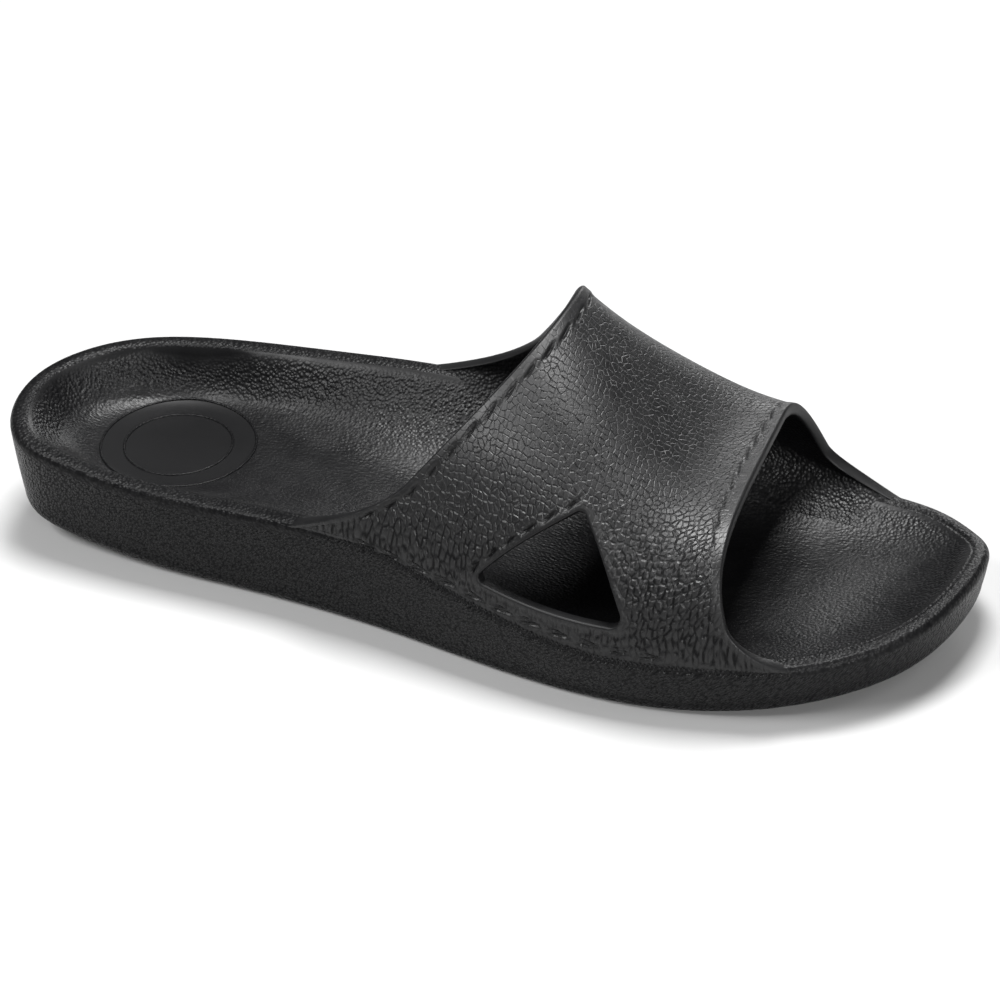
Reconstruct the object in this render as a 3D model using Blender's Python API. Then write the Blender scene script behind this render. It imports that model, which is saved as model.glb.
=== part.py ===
"""Pool slide sandal for the right foot, moulded in one piece from foamed EVA.

The sole is lofted from rings round its outline, and the upper from arches between
its two feet on the sole's rim. Both are closed forms with the shape of the foot's
last. A Boolean joins them, as the mould does, and a side core cuts the opening.

Tables are in millimetres, with x from the back of the heel, -y to the little toe
and +y to the big toe. The model itself is in metres, and its origin is under the
middle of its box, on the ground.
"""

import math

import bpy
import numpy as np

MM = 0.001

# Driving sizes of the sole
LENGTH = 280.0
HEEL_ROLL = 66.0  # the bottom leaves the ground this far from the back of the heel
HEEL_LIFT = 7.0
HEEL_CURVE = 1.7  # 2 is a parabola, and less lifts sooner
TOE_ROLL = 86.0  # and this far from the tip of the toe
TOE_SPRING = 9.5
TOE_CURVE = 2.0
RIM_ROUND = 2.6  # radius of the rim's outer edge
RIM_LAND = 1.6  # flat top of the rim
RIM_DROP = 0.7  # how far the rim falls to its inner edge
SPINE_HEEL = 36.0  # the footbed's middle line starts here
SPINE_TOE = 236.0
WALL_LEAN = 0.42  # share of the wall's lean that is left at half its height

# One row for each station along the foot: outline and rim height on both sides,
# height of the footbed's middle line, how sharply the bed turns up to the rim on
# both sides, how far the wall leans in from rim to ground, and the radius of the
# edge between wall and ground.
SOLE_COLUMNS = (
    "along", "lateral", "medial", "rim_lateral", "rim_medial", "bed",
    "cup_lateral", "cup_medial", "lean", "edge",
)
SOLE = (
    (0.0, -3.5, -3.5, 38.5, 38.5, 27.0, 4.6, 4.6, 1.5, 9.0),
    (8.0, -24.5, 18.0, 36.5, 39.5, 26.2, 4.8, 5.4, 2.5, 8.0),
    (25.0, -30.5, 30.0, 34.0, 40.5, 25.3, 4.8, 6.4, 4.0, 6.0),
    (50.0, -33.5, 36.0, 32.0, 41.0, 24.8, 4.6, 6.2, 4.5, 5.0),
    (85.0, -35.5, 38.0, 32.0, 42.0, 25.2, 3.6, 3.2, 4.5, 4.0),
    (120.0, -40.0, 39.5, 32.0, 42.0, 23.2, 3.0, 2.2, 4.5, 3.5),
    (155.0, -47.5, 42.0, 25.0, 37.0, 17.8, 3.0, 2.4, 4.5, 3.5),
    (190.0, -52.0, 46.5, 19.5, 29.0, 13.2, 3.4, 3.0, 4.5, 3.5),
    (215.0, -50.0, 48.5, 19.5, 23.5, 12.2, 3.6, 3.4, 4.2, 3.5),
    (240.0, -43.0, 47.0, 20.0, 20.0, 12.6, 3.6, 3.6, 3.8, 4.0),
    (260.0, -30.5, 42.5, 21.5, 20.0, 13.8, 3.6, 3.6, 2.8, 4.5),
    (273.0, -14.0, 33.5, 23.5, 21.0, 15.0, 3.4, 3.4, 1.8, 5.0),
    (280.0, 16.0, 16.0, 24.0, 24.0, 16.0, 3.2, 3.2, 1.4, 5.0),
)

# Driving sizes of the upper
WALL = 3.2
FOOT_INSET = 0.8  # the upper stands this far inside the sole's outline
ROOT_DEPTH = 7.0  # and reaches this far into the sole, so that the two join
ROOT_INSET = 2.0
TAIL_HEIGHT = 0.36  # share of an arch's height over which its edge sweeps into the rim
FOOT_HEIGHT = 0.35  # share over which its foot follows the rim
EDGE_SINK = 2.2  # depth to which the ends of the two edges run out in the rim
EDGE_BULGE = 0.35  # share of the wall by which the two edges are rounded out
EDGE_FADE = 4  # power with which what belongs to an edge fades away from it

# One row for each arch from the rear edge to the front edge: where its feet stand
# along the rim, its ridge, the roundness of its two sides (2 is an ellipse), how
# its sides sweep along the foot, and how far its edge trails along the rim.
ARCH_COLUMNS = (
    "share", "lateral_foot", "medial_foot", "ridge_x", "ridge_y", "ridge_z",
    "lateral_round", "medial_round", "lateral_sweep", "medial_sweep",
    "lateral_tail", "medial_tail",
)
ARCHES = (
    (0.00, 118.5, 125.0, 165.0, 12.0, 89.5, 2.0, 2.0, 1.15, 0.64, -24.0, -14.0),
    (0.35, 155.0, 161.0, 182.5, 10.0, 76.0, 2.4, 2.1, 1.05, 0.70, 0.0, 0.0),
    (0.70, 193.0, 199.0, 206.0, 15.0, 58.5, 3.0, 2.45, 0.90, 0.60, 0.0, 0.0),
    (1.00, 228.5, 237.0, 219.5, 24.5, 54.8, 4.2, 2.1, 0.68, 0.52, 12.0, 1.0),
)

# The opening in the lateral side, a row for each corner: its place along the foot,
# its height, its radius, and how far the side to the next corner bows out.
OPENING = (
    (152.8, 32.2, 1.8, 1.2),
    (199.8, 28.0, 3.5, 0.8),
    (182.6, 56.5, 2.2, 1.4),
)
CORE_REACH = (-70.0, -25.0)  # the side core runs straight in from the lateral side

# Finish of the foam's moulded skin, as linear red, green and blue
FOAM_BLACK = (0.016, 0.016, 0.018)
FOAM_ROUGHNESS = 0.5

# How finely the forms are cut
OUTLINE_STEPS = 96
OUTLINE_NUDGE = 1e-4  # step in the angle for the outline's direction
GROUND_SHARES = (1.0, 0.55, 0.2, 0.0)
GROUND_TURNS = (22.5, 45.0, 67.5, 90.0)  # degrees round the lower edge
RIM_TURNS = (0.0, 30.0, 60.0, 90.0)  # degrees round the rim's outer edge
BED_SHARES = (0.0, 0.05, 0.12, 0.21, 0.32, 0.46, 0.63, 0.82, 1.0)
ARCH_STEPS = 18
SIDE_STEPS = 26
FINE_STEPS = 400
CORNER_STEPS = 5
OPENING_STEPS = 6


def spline(knots, values):
    """Return a natural cubic spline through the values at the knots."""
    knots = np.asarray(knots, float)
    values = np.asarray(values, float)
    gaps = np.diff(knots)
    slopes = np.diff(values) / gaps
    matrix = np.eye(len(knots))
    bends = np.zeros(len(knots))
    for i in range(1, len(knots) - 1):
        matrix[i, i - 1 : i + 2] = gaps[i - 1], 2 * (gaps[i - 1] + gaps[i]), gaps[i]
        bends[i] = 3 * (slopes[i] - slopes[i - 1])
    bends = np.linalg.solve(matrix, bends)
    starts = slopes - gaps * (2 * bends[:-1] + bends[1:]) / 3
    cubes = np.diff(bends) / (3 * gaps)

    def at(places):
        places = np.asarray(places, float)
        i = np.clip(np.searchsorted(knots, places) - 1, 0, len(gaps) - 1)
        step = places - knots[i]
        return values[i] + step * (starts[i] + step * (bends[i] + step * cubes[i]))

    return at


def column(table, names, name):
    """Return one named column of a table."""
    return np.array([row[names.index(name)] for row in table], float)


def turn_of(along):
    """Return the angle round the outline, from 0 at the heel to pi at the toe."""
    return np.arccos(np.clip(1 - 2 * np.asarray(along, float) / LENGTH, -1, 1))


def along_of(turn):
    """Return the place along the foot at an angle round the outline."""
    return LENGTH / 2 * (1 - np.cos(turn))


def round_loop(lateral, medial):
    """Return a closed spline over the angle: lateral side out, medial side back."""
    turns = turn_of(column(SOLE, SOLE_COLUMNS, "along"))
    out = column(SOLE, SOLE_COLUMNS, lateral)
    back = column(SOLE, SOLE_COLUMNS, medial)
    knots = np.concatenate([turns[:-1], 2 * math.pi - turns[:0:-1]])
    values = np.concatenate([out[:-1], back[:0:-1]])
    lap = 2 * math.pi
    smooth = spline(
        np.concatenate([knots - lap, knots, knots + lap]), np.concatenate([values] * 3)
    )
    return lambda turn: smooth(np.mod(turn, lap))


outline_y = round_loop("lateral", "medial")
rim_height = round_loop("rim_lateral", "rim_medial")
cup_of = round_loop("cup_lateral", "cup_medial")
lean_of = round_loop("lean", "lean")
edge_of = round_loop("edge", "edge")
bed_height = spline(
    turn_of(column(SOLE, SOLE_COLUMNS, "along")), column(SOLE, SOLE_COLUMNS, "bed")
)


def ground_height(along):
    """Return the height of the bottom: flat, with a rolled heel and a toe spring."""
    heel = np.clip((HEEL_ROLL - along) / HEEL_ROLL, 0, 1)
    toe = np.clip((along - LENGTH + TOE_ROLL) / TOE_ROLL, 0, 1)
    return HEEL_LIFT * heel**HEEL_CURVE + TOE_SPRING * toe**TOE_CURVE


def outline(turn):
    """Return the outline's points and inward directions in plan."""
    points = np.stack([along_of(turn), outline_y(turn)], -1)
    ahead, behind = turn + OUTLINE_NUDGE, turn - OUTLINE_NUDGE
    run = np.stack(
        [along_of(ahead) - along_of(behind), outline_y(ahead) - outline_y(behind)], -1
    )
    inward = np.stack([-run[:, 1], run[:, 0]], -1)
    return points, inward / np.linalg.norm(inward, axis=1, keepdims=True)


def spine(turn):
    """Return the middle line that the rings of bed and bottom close on."""
    share = (1 - np.cos(turn)) / 2
    along = SPINE_HEEL + (SPINE_TOE - SPINE_HEEL) * share
    mirrored = 2 * math.pi - turn_of(along)
    return np.stack([along, (outline_y(turn_of(along)) + outline_y(mirrored)) / 2], -1)


def sole_rings():
    """Return the sole's rings, from the middle of the bottom to that of the bed."""
    turn = np.linspace(0, 2 * math.pi, OUTLINE_STEPS, endpoint=False)
    edge, inward = outline(turn)
    middle = spine(turn)
    lean, curve, rim = lean_of(turn), edge_of(turn), rim_height(turn)
    rings = []

    def inset_ring(inset, height):
        inset = np.broadcast_to(inset, turn.shape)
        rings.append(np.column_stack([edge + inward * inset[:, None], height]))

    flat = edge + inward * (lean + curve)[:, None]
    for share in GROUND_SHARES:
        plan = flat + (middle - flat) * share
        rings.append(np.column_stack([plan, ground_height(plan[:, 0])]))
    foot_z = ground_height(flat[:, 0])
    for turn_up in GROUND_TURNS:
        angle = math.radians(turn_up)
        inset_ring(lean + curve * (1 - math.sin(angle)), foot_z + curve * (1 - math.cos(angle)))
    low, high = foot_z + curve, rim - RIM_ROUND
    inset_ring(lean * WALL_LEAN, (low + high) / 2)
    for turn_in in RIM_TURNS:
        angle = math.radians(turn_in)
        inset_ring(RIM_ROUND * (1 - math.cos(angle)), high + RIM_ROUND * math.sin(angle))
    inset_ring(RIM_ROUND + RIM_LAND, rim)
    lip = edge + inward * (RIM_ROUND + 2 * RIM_LAND)
    depth = rim - RIM_DROP - bed_height(turn_of(lip[:, 0]))
    for share in BED_SHARES:
        plan = lip + (middle - lip) * share
        rise = depth * (1 - share) ** cup_of(turn)
        rings.append(np.column_stack([plan, bed_height(turn_of(plan[:, 0])) + rise]))
    return rings


def sole_form():
    """Return the sole's points and faces, closed along two middle lines."""
    rings = sole_rings()
    steps, half = OUTLINE_STEPS, OUTLINE_STEPS // 2
    points = [rings[0][: half + 1]] + rings[1:-1] + [rings[-1][: half + 1]]
    starts = np.cumsum([0] + [len(ring) for ring in points])

    def corner(ring, i):
        i %= steps
        if ring in (0, len(rings) - 1):
            i = min(i, steps - i)
        return int(starts[ring] + i)

    faces = [
        (corner(k, i), corner(k, i + 1), corner(k + 1, i + 1), corner(k + 1, i))
        for k in range(len(rings) - 1)
        for i in range(steps)
    ]
    return np.concatenate(points), faces


arch = {
    name: spline(column(ARCHES, ARCH_COLUMNS, "share"), column(ARCHES, ARCH_COLUMNS, name))
    for name in ARCH_COLUMNS[1:-2]
}


def near_edges(share, rear, front):
    """Return what holds at the rear and front edges and fades out between them."""
    return rear * (1 - share) ** EDGE_FADE + front * share**EDGE_FADE


def upper_point(share, climb, side):
    """Return a point outside the upper.

    share runs from the rear edge (0) to the front edge (1), and climb from the
    foot on the rim (0) to the ridge (1).
    """
    sign = 1.0 if side == "medial" else -1.0
    foot_x = arch[side + "_foot"](share)
    power = 2 / arch[side + "_round"](share)
    angle = climb * math.pi / 2
    spread = np.cos(angle) ** power
    rise = np.sin(angle) ** power
    ridge_x, ridge_y, ridge_z = (arch["ridge_" + axis](share) for axis in "xyz")
    x = foot_x + (ridge_x - foot_x) * rise ** arch[side + "_sweep"](share)
    low = np.clip(1 - rise / TAIL_HEIGHT, 0, 1) ** 2
    tails = column(ARCHES, ARCH_COLUMNS, side + "_tail")
    x = x + near_edges(share, tails[0], tails[-1]) * low
    follow = np.clip(1 - rise / FOOT_HEIGHT, 0, 1) ** 2

    def on_rim(along):
        turn = turn_of(along)
        turn = 2 * math.pi - turn if side == "medial" else turn
        return outline_y(turn) - sign * FOOT_INSET, rim_height(turn)

    foot_y, foot_z = on_rim(foot_x)
    trail_y, trail_z = on_rim(x)
    y = ridge_y + (foot_y - ridge_y) * spread + follow * (trail_y - foot_y)
    z = foot_z + (ridge_z - foot_z) * rise + follow * (trail_z - foot_z)
    z = z - near_edges(share, EDGE_SINK, EDGE_SINK) * low
    return np.stack([x, y, z], -1)


def half_arch(share, side):
    """Return points at even steps up one side of an arch, from foot to ridge."""
    fine = (1 - np.cos(np.linspace(0, math.pi, FINE_STEPS + 1))) / 2
    points = upper_point(np.full_like(fine, share), fine, side)
    lengths = np.linalg.norm(np.diff(points, axis=0), axis=1)
    reached = np.concatenate([[0.0], np.cumsum(lengths)])
    climbs = np.interp(np.linspace(0, reached[-1], SIDE_STEPS + 1), reached, fine)
    return upper_point(np.full_like(climbs, share), climbs, side)


def upper_skin():
    """Return the upper's outer grid, rear to front by lateral to medial foot."""
    rows = []
    for share in np.linspace(0, 1, ARCH_STEPS + 1):
        medial = half_arch(share, "medial")
        rows.append(np.concatenate([half_arch(share, "lateral"), medial[-2::-1]]))
    return np.array(rows)


def outward(skin):
    """Return the unit normals of a grid, pointing out of the upper."""
    along = np.gradient(skin, axis=0)
    across = np.gradient(skin, axis=1)
    normal = np.cross(along, across)
    normal /= np.linalg.norm(normal, axis=-1, keepdims=True)
    middle = normal[normal.shape[0] // 2, normal.shape[1] // 2]
    return normal if middle[2] > 0 else -normal


def rooted(grid):
    """Return the grid with a root below each foot, inside the sole."""
    sink = np.array([0.0, ROOT_INSET, -ROOT_DEPTH])
    lateral = grid[:, :1] + sink
    medial = grid[:, -1:] + sink * (1, -1, 1)
    return np.concatenate([lateral, grid, medial], axis=1)


def upper_form():
    """Return the upper's points and faces: an even wall, open at collar and toe."""
    skin = upper_skin()
    normal = outward(skin)
    lining = skin - normal * WALL
    half_wall = (skin + lining) / 2
    reach = np.gradient(skin, axis=0)
    reach /= np.linalg.norm(reach, axis=-1, keepdims=True)
    half_wall[0] -= reach[0] * WALL * EDGE_BULGE
    half_wall[-1] += reach[-1] * WALL * EDGE_BULGE
    loops = np.concatenate(
        [rooted(skin), rooted(half_wall)[-1:], rooted(lining)[::-1], rooted(half_wall)[:1]]
    )
    count, width = loops.shape[:2]
    faces = []
    for i in range(count):
        here, there = i * width, (i + 1) % count * width
        faces += [(here + j, there + j, there + j + 1, here + j + 1) for j in range(width - 1)]
    layers = ARCH_STEPS + 1
    for j in (0, width - 1):
        outer = [i * width + j for i in range(layers)]
        inner = [(layers + 1 + layers - 1 - i) * width + j for i in range(layers)]
        front, rear = layers * width + j, (count - 1) * width + j
        ends = [(outer[i], inner[i], inner[i + 1], outer[i + 1]) for i in range(layers - 1)]
        ends += [(outer[-1], inner[-1], front), (inner[0], outer[0], rear)]
        faces += ends if j == 0 else [face[::-1] for face in ends]
    return loops.reshape(-1, 3), faces


def corner_arc(before, here, after, radius):
    """Return points on the arc that rounds a corner between its two neighbours."""
    to_before = (before - here) / np.linalg.norm(before - here)
    to_after = (after - here) / np.linalg.norm(after - here)
    half = math.acos(to_before @ to_after) / 2
    middle = (to_before + to_after) / np.linalg.norm(to_before + to_after)
    centre = here + middle * radius / math.sin(half)
    spoke = here + to_before * radius / math.tan(half) - centre
    turns = np.linspace(0, math.pi - 2 * half, CORNER_STEPS + 1)
    return np.stack(
        [
            centre[0] + spoke[0] * np.cos(turns) - spoke[1] * np.sin(turns),
            centre[1] + spoke[0] * np.sin(turns) + spoke[1] * np.cos(turns),
        ],
        -1,
    )


def opening_outline():
    """Return the opening's outline, along and in height: arcs and bowed sides."""
    corners = np.array([row[:2] for row in OPENING])
    count = len(corners)
    arcs = [
        corner_arc(corners[i - 1], corners[i], corners[(i + 1) % count], OPENING[i][2])
        for i in range(count)
    ]
    points = []
    for i in range(count):
        start, end = arcs[i][-1], arcs[(i + 1) % count][0]
        run = (end - start) / np.linalg.norm(end - start)
        outwards = np.array([run[1], -run[0]])
        points.append(arcs[i])
        for share in np.linspace(0, 1, OPENING_STEPS + 1)[1:-1]:
            bow = OPENING[i][3] * 4 * share * (1 - share)
            points.append([start + (end - start) * share + outwards * bow])
    return np.concatenate(points)


def core_form():
    """Return the side core that leaves the opening: a straight rounded prism."""
    flat = opening_outline()
    count = len(flat)
    points = np.concatenate(
        [np.column_stack([flat[:, 0], np.full(count, reach), flat[:, 1]]) for reach in CORE_REACH]
    )
    faces = [(i, count + i, count + (i + 1) % count, (i + 1) % count) for i in range(count)]
    faces += [tuple(range(count)), tuple(range(count, 2 * count))[::-1]]
    return points, faces


def material(name, colour, roughness):
    """Return a Principled material."""
    made = bpy.data.materials.new(name)
    made.use_nodes = True
    surface = made.node_tree.nodes["Principled BSDF"]
    surface.inputs["Base Color"].default_value = (*colour, 1.0)
    surface.inputs["Roughness"].default_value = roughness
    surface.inputs["Metallic"].default_value = 0.0
    return made


def make_object(name, form, shift, finish):
    """Return a mesh object of a form, moved to the model's origin, in metres."""
    points, faces = form
    mesh = bpy.data.meshes.new(name)
    mesh.from_pydata([tuple(point) for point in (points + shift) * MM], [], faces)
    mesh.update()
    mesh.materials.append(finish)
    made = bpy.data.objects.new(name, mesh)
    bpy.context.scene.collection.objects.link(made)
    return made


def join(target, tool, operation):
    """Join a helper form to the target, or cut it out, and hide the helper."""
    tool.hide_render = True
    tool.display_type = "WIRE"
    boolean = target.modifiers.new(operation.title() + " " + tool.name, "BOOLEAN")
    boolean.operation = operation
    boolean.object = tool
    boolean.solver = "EXACT"


def main():
    """Build the slide."""
    for old in list(bpy.data.objects):
        bpy.data.objects.remove(old, do_unlink=True)
    sole, upper, core = sole_form(), upper_form(), core_form()
    whole = np.concatenate([sole[0], upper[0]])
    low, high = whole.min(axis=0), whole.max(axis=0)
    shift = np.array([-(low[0] + high[0]) / 2, -(low[1] + high[1]) / 2, -low[2]])
    foam = material("black_eva_foam", FOAM_BLACK, FOAM_ROUGHNESS)
    slide = make_object("slide", sole, shift, foam)
    join(slide, make_object("upper_form", upper, shift, foam), "UNION")
    join(slide, make_object("side_core", core, shift, foam), "DIFFERENCE")


main()
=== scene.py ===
"""Looks of a pool slide sandal for the right foot, moulded whole from black foamed EVA.

The sole's rings and the upper's arches are those of the solid model, cut finer and with
the moulded details added. Sizes are millimetres in the moulder's frame: x from the back
of the heel, -y to the little toe, z up from the ground. place() moves points from there
into the frame, in metres.
"""

import logging
import math
from dataclasses import dataclass, field
from enum import Enum
from typing import Any, Sequence

import bpy
import numpy as np
from mathutils import Matrix, Vector
from mathutils.bvhtree import BVHTree


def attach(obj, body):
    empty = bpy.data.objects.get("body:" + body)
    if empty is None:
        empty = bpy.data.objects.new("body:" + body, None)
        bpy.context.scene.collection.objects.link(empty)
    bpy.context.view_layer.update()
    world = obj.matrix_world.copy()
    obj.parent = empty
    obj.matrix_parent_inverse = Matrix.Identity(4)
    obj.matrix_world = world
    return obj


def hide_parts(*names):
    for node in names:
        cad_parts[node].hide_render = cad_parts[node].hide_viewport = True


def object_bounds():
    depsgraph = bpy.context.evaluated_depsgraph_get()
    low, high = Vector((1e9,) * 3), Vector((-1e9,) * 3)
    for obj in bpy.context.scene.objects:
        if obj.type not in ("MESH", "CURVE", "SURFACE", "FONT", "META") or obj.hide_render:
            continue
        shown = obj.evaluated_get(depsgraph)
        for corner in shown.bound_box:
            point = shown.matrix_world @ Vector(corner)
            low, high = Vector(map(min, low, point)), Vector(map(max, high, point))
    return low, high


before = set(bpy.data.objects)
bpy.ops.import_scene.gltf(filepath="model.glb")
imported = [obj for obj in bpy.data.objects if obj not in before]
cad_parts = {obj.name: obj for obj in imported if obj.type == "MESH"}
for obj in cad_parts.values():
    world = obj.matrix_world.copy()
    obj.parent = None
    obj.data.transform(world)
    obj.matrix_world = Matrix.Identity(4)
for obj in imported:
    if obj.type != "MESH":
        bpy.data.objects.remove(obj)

CAD_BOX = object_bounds()
NODE = "slide"
BODY = "root"
MM = 0.001
LAP = 2 * math.pi
# A distance beyond all of the shoe and a height above it, in millimetres.
FAR = 1000.0
OVERHEAD = 200.0
# The sockets that map one range onto another, and how far a cell reaches, in cells.
RANGE = ("From Min", "From Max", "To Min", "To Max")
CELL_REACH = 0.8

Array = np.ndarray
log = logging.getLogger("slide")


class Side(Enum):
    """The two sides of the shoe, with the sign of their y."""

    LATERAL = -1.0
    MEDIAL = 1.0


class Stitch(Enum):
    """The kinds of moulded stitches."""

    SLIT = "slit_stitches"
    FAINT = "faint_stitches"
    LEAF = "leaf_stitches"


class Zone(Enum):
    """The zones of the sole's skin, each with its own finish."""

    BOTTOM = 0
    WALL = 1
    RIM = 2
    BED = 3


class Layer(Enum):
    """The layers of the upper's wall, each with its own finish."""

    SKIN = 0
    EDGE = 1
    LINING = 2


def smoothstep(low: float, high: float, places: Array) -> Array:
    """Return a soft step over the places, from 0 at low to 1 at high."""
    share = np.clip((places - low) / (high - low), 0.0, 1.0)
    return share * share * (3.0 - 2.0 * share)


def unit(vectors: Array) -> Array:
    """Return the vectors at length one."""
    return vectors / np.linalg.norm(vectors, axis=-1, keepdims=True)


def run_length(points: Array, axis: int = 0) -> Array:
    """Measure how far each point lies along its line.

    Args:
        points: points in the last axis.
        axis: the axis that runs along the line.

    Returns:
        The length from the first point, with the last axis gone.
    """
    steps = np.linalg.norm(np.diff(points, axis=axis), axis=-1)
    start = np.zeros_like(np.take(steps, [0], axis=axis))
    return np.concatenate([start, np.cumsum(steps, axis=axis)], axis=axis)


def between(places: Array, knots: Array, points: Array) -> Array:
    """Return the points at places between rising knots, one knot to a point."""
    return np.stack([np.interp(places, knots, column) for column in points.T], -1)


def tube_faces(rings: int, steps: int, closed: bool) -> Array:
    """Number the faces of a tube whose points lie ring by ring.

    Args:
        rings: how many rings it has.
        steps: how many points a ring has.
        closed: whether the last ring joins the first.

    Returns:
        The four corners of each face.
    """
    here = np.arange(rings * steps).reshape(rings, steps)
    turned = np.roll(here, -1, axis=1)
    ahead = np.roll(here, -1, axis=0)
    faces = np.stack([here, ahead, np.roll(ahead, -1, axis=1), turned], -1)
    return faces[: rings if closed else rings - 1].reshape(-1, 4)


def renumber(faces: Sequence[Sequence[int]], count: int) -> tuple[Array, Array]:
    """Leave out the points that no face uses.

    Args:
        faces: the corners of each face.
        count: how many points there are.

    Returns:
        The points in use, and the new number of each old one.
    """
    used = np.unique(np.concatenate([np.asarray(face) for face in faces]))
    fresh = np.zeros(count, int)
    fresh[used] = np.arange(len(used))
    return used, fresh


class Spline:
    """A natural cubic spline through values at rising knots."""

    def __init__(self, knots: Sequence[float], values: Sequence[float]) -> None:
        """Solve the spline's bends.

        Args:
            knots: the places, rising.
            values: the value at each place.
        """
        self.knots = np.asarray(knots, float)
        self.values = np.asarray(values, float)
        gaps = np.diff(self.knots)
        slopes = np.diff(self.values) / gaps
        matrix = np.eye(len(self.knots))
        bends = np.zeros(len(self.knots))
        for i in range(1, len(self.knots) - 1):
            matrix[i, i - 1 : i + 2] = gaps[i - 1], 2 * (gaps[i - 1] + gaps[i]), gaps[i]
            bends[i] = 3 * (slopes[i] - slopes[i - 1])
        self.bends = np.linalg.solve(matrix, bends)
        self.starts = slopes - gaps * (2 * self.bends[:-1] + self.bends[1:]) / 3
        self.cubes = np.diff(self.bends) / (3 * gaps)

    def __call__(self, places: Array) -> Array:
        """Read the spline.

        Args:
            places: where to read it.

        Returns:
            The value at each place.
        """
        places = np.asarray(places, float)
        i = np.clip(np.searchsorted(self.knots, places) - 1, 0, len(self.cubes) - 1)
        step = places - self.knots[i]
        curve = self.bends[i] + step * self.cubes[i]
        return self.values[i] + step * (self.starts[i] + step * curve)


@dataclass(frozen=True)
class Station:
    """One cross-section of the sole, in millimetres; the cups are powers."""

    along: float
    lateral: float
    medial: float
    rim_lateral: float
    rim_medial: float
    bed: float
    cup_lateral: float
    cup_medial: float
    lean: float
    edge: float


STATIONS = (
    Station(0.0, -3.5, -3.5, 38.5, 38.5, 27.0, 4.6, 4.6, 1.5, 9.0),
    Station(8.0, -24.5, 18.0, 36.5, 39.5, 26.2, 4.8, 5.4, 2.5, 8.0),
    Station(25.0, -30.5, 30.0, 34.0, 40.5, 25.3, 4.8, 6.4, 4.0, 6.0),
    Station(50.0, -33.5, 36.0, 32.0, 41.0, 24.8, 4.6, 6.2, 4.5, 5.0),
    Station(85.0, -35.5, 38.0, 32.0, 42.0, 25.2, 3.6, 3.2, 4.5, 4.0),
    Station(120.0, -40.0, 39.5, 32.0, 42.0, 23.2, 3.0, 2.2, 4.5, 3.5),
    Station(155.0, -47.5, 42.0, 25.0, 37.0, 17.8, 3.0, 2.4, 4.5, 3.5),
    Station(190.0, -52.0, 46.5, 19.5, 29.0, 13.2, 3.4, 3.0, 4.5, 3.5),
    Station(215.0, -50.0, 48.5, 19.5, 23.5, 12.2, 3.6, 3.4, 4.2, 3.5),
    Station(240.0, -43.0, 47.0, 20.0, 20.0, 12.6, 3.6, 3.6, 3.8, 4.0),
    Station(260.0, -30.5, 42.5, 21.5, 20.0, 13.8, 3.6, 3.6, 2.8, 4.5),
    Station(273.0, -14.0, 33.5, 23.5, 21.0, 15.0, 3.4, 3.4, 1.8, 5.0),
    Station(280.0, 16.0, 16.0, 24.0, 24.0, 16.0, 3.2, 3.2, 1.4, 5.0),
)


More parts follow.
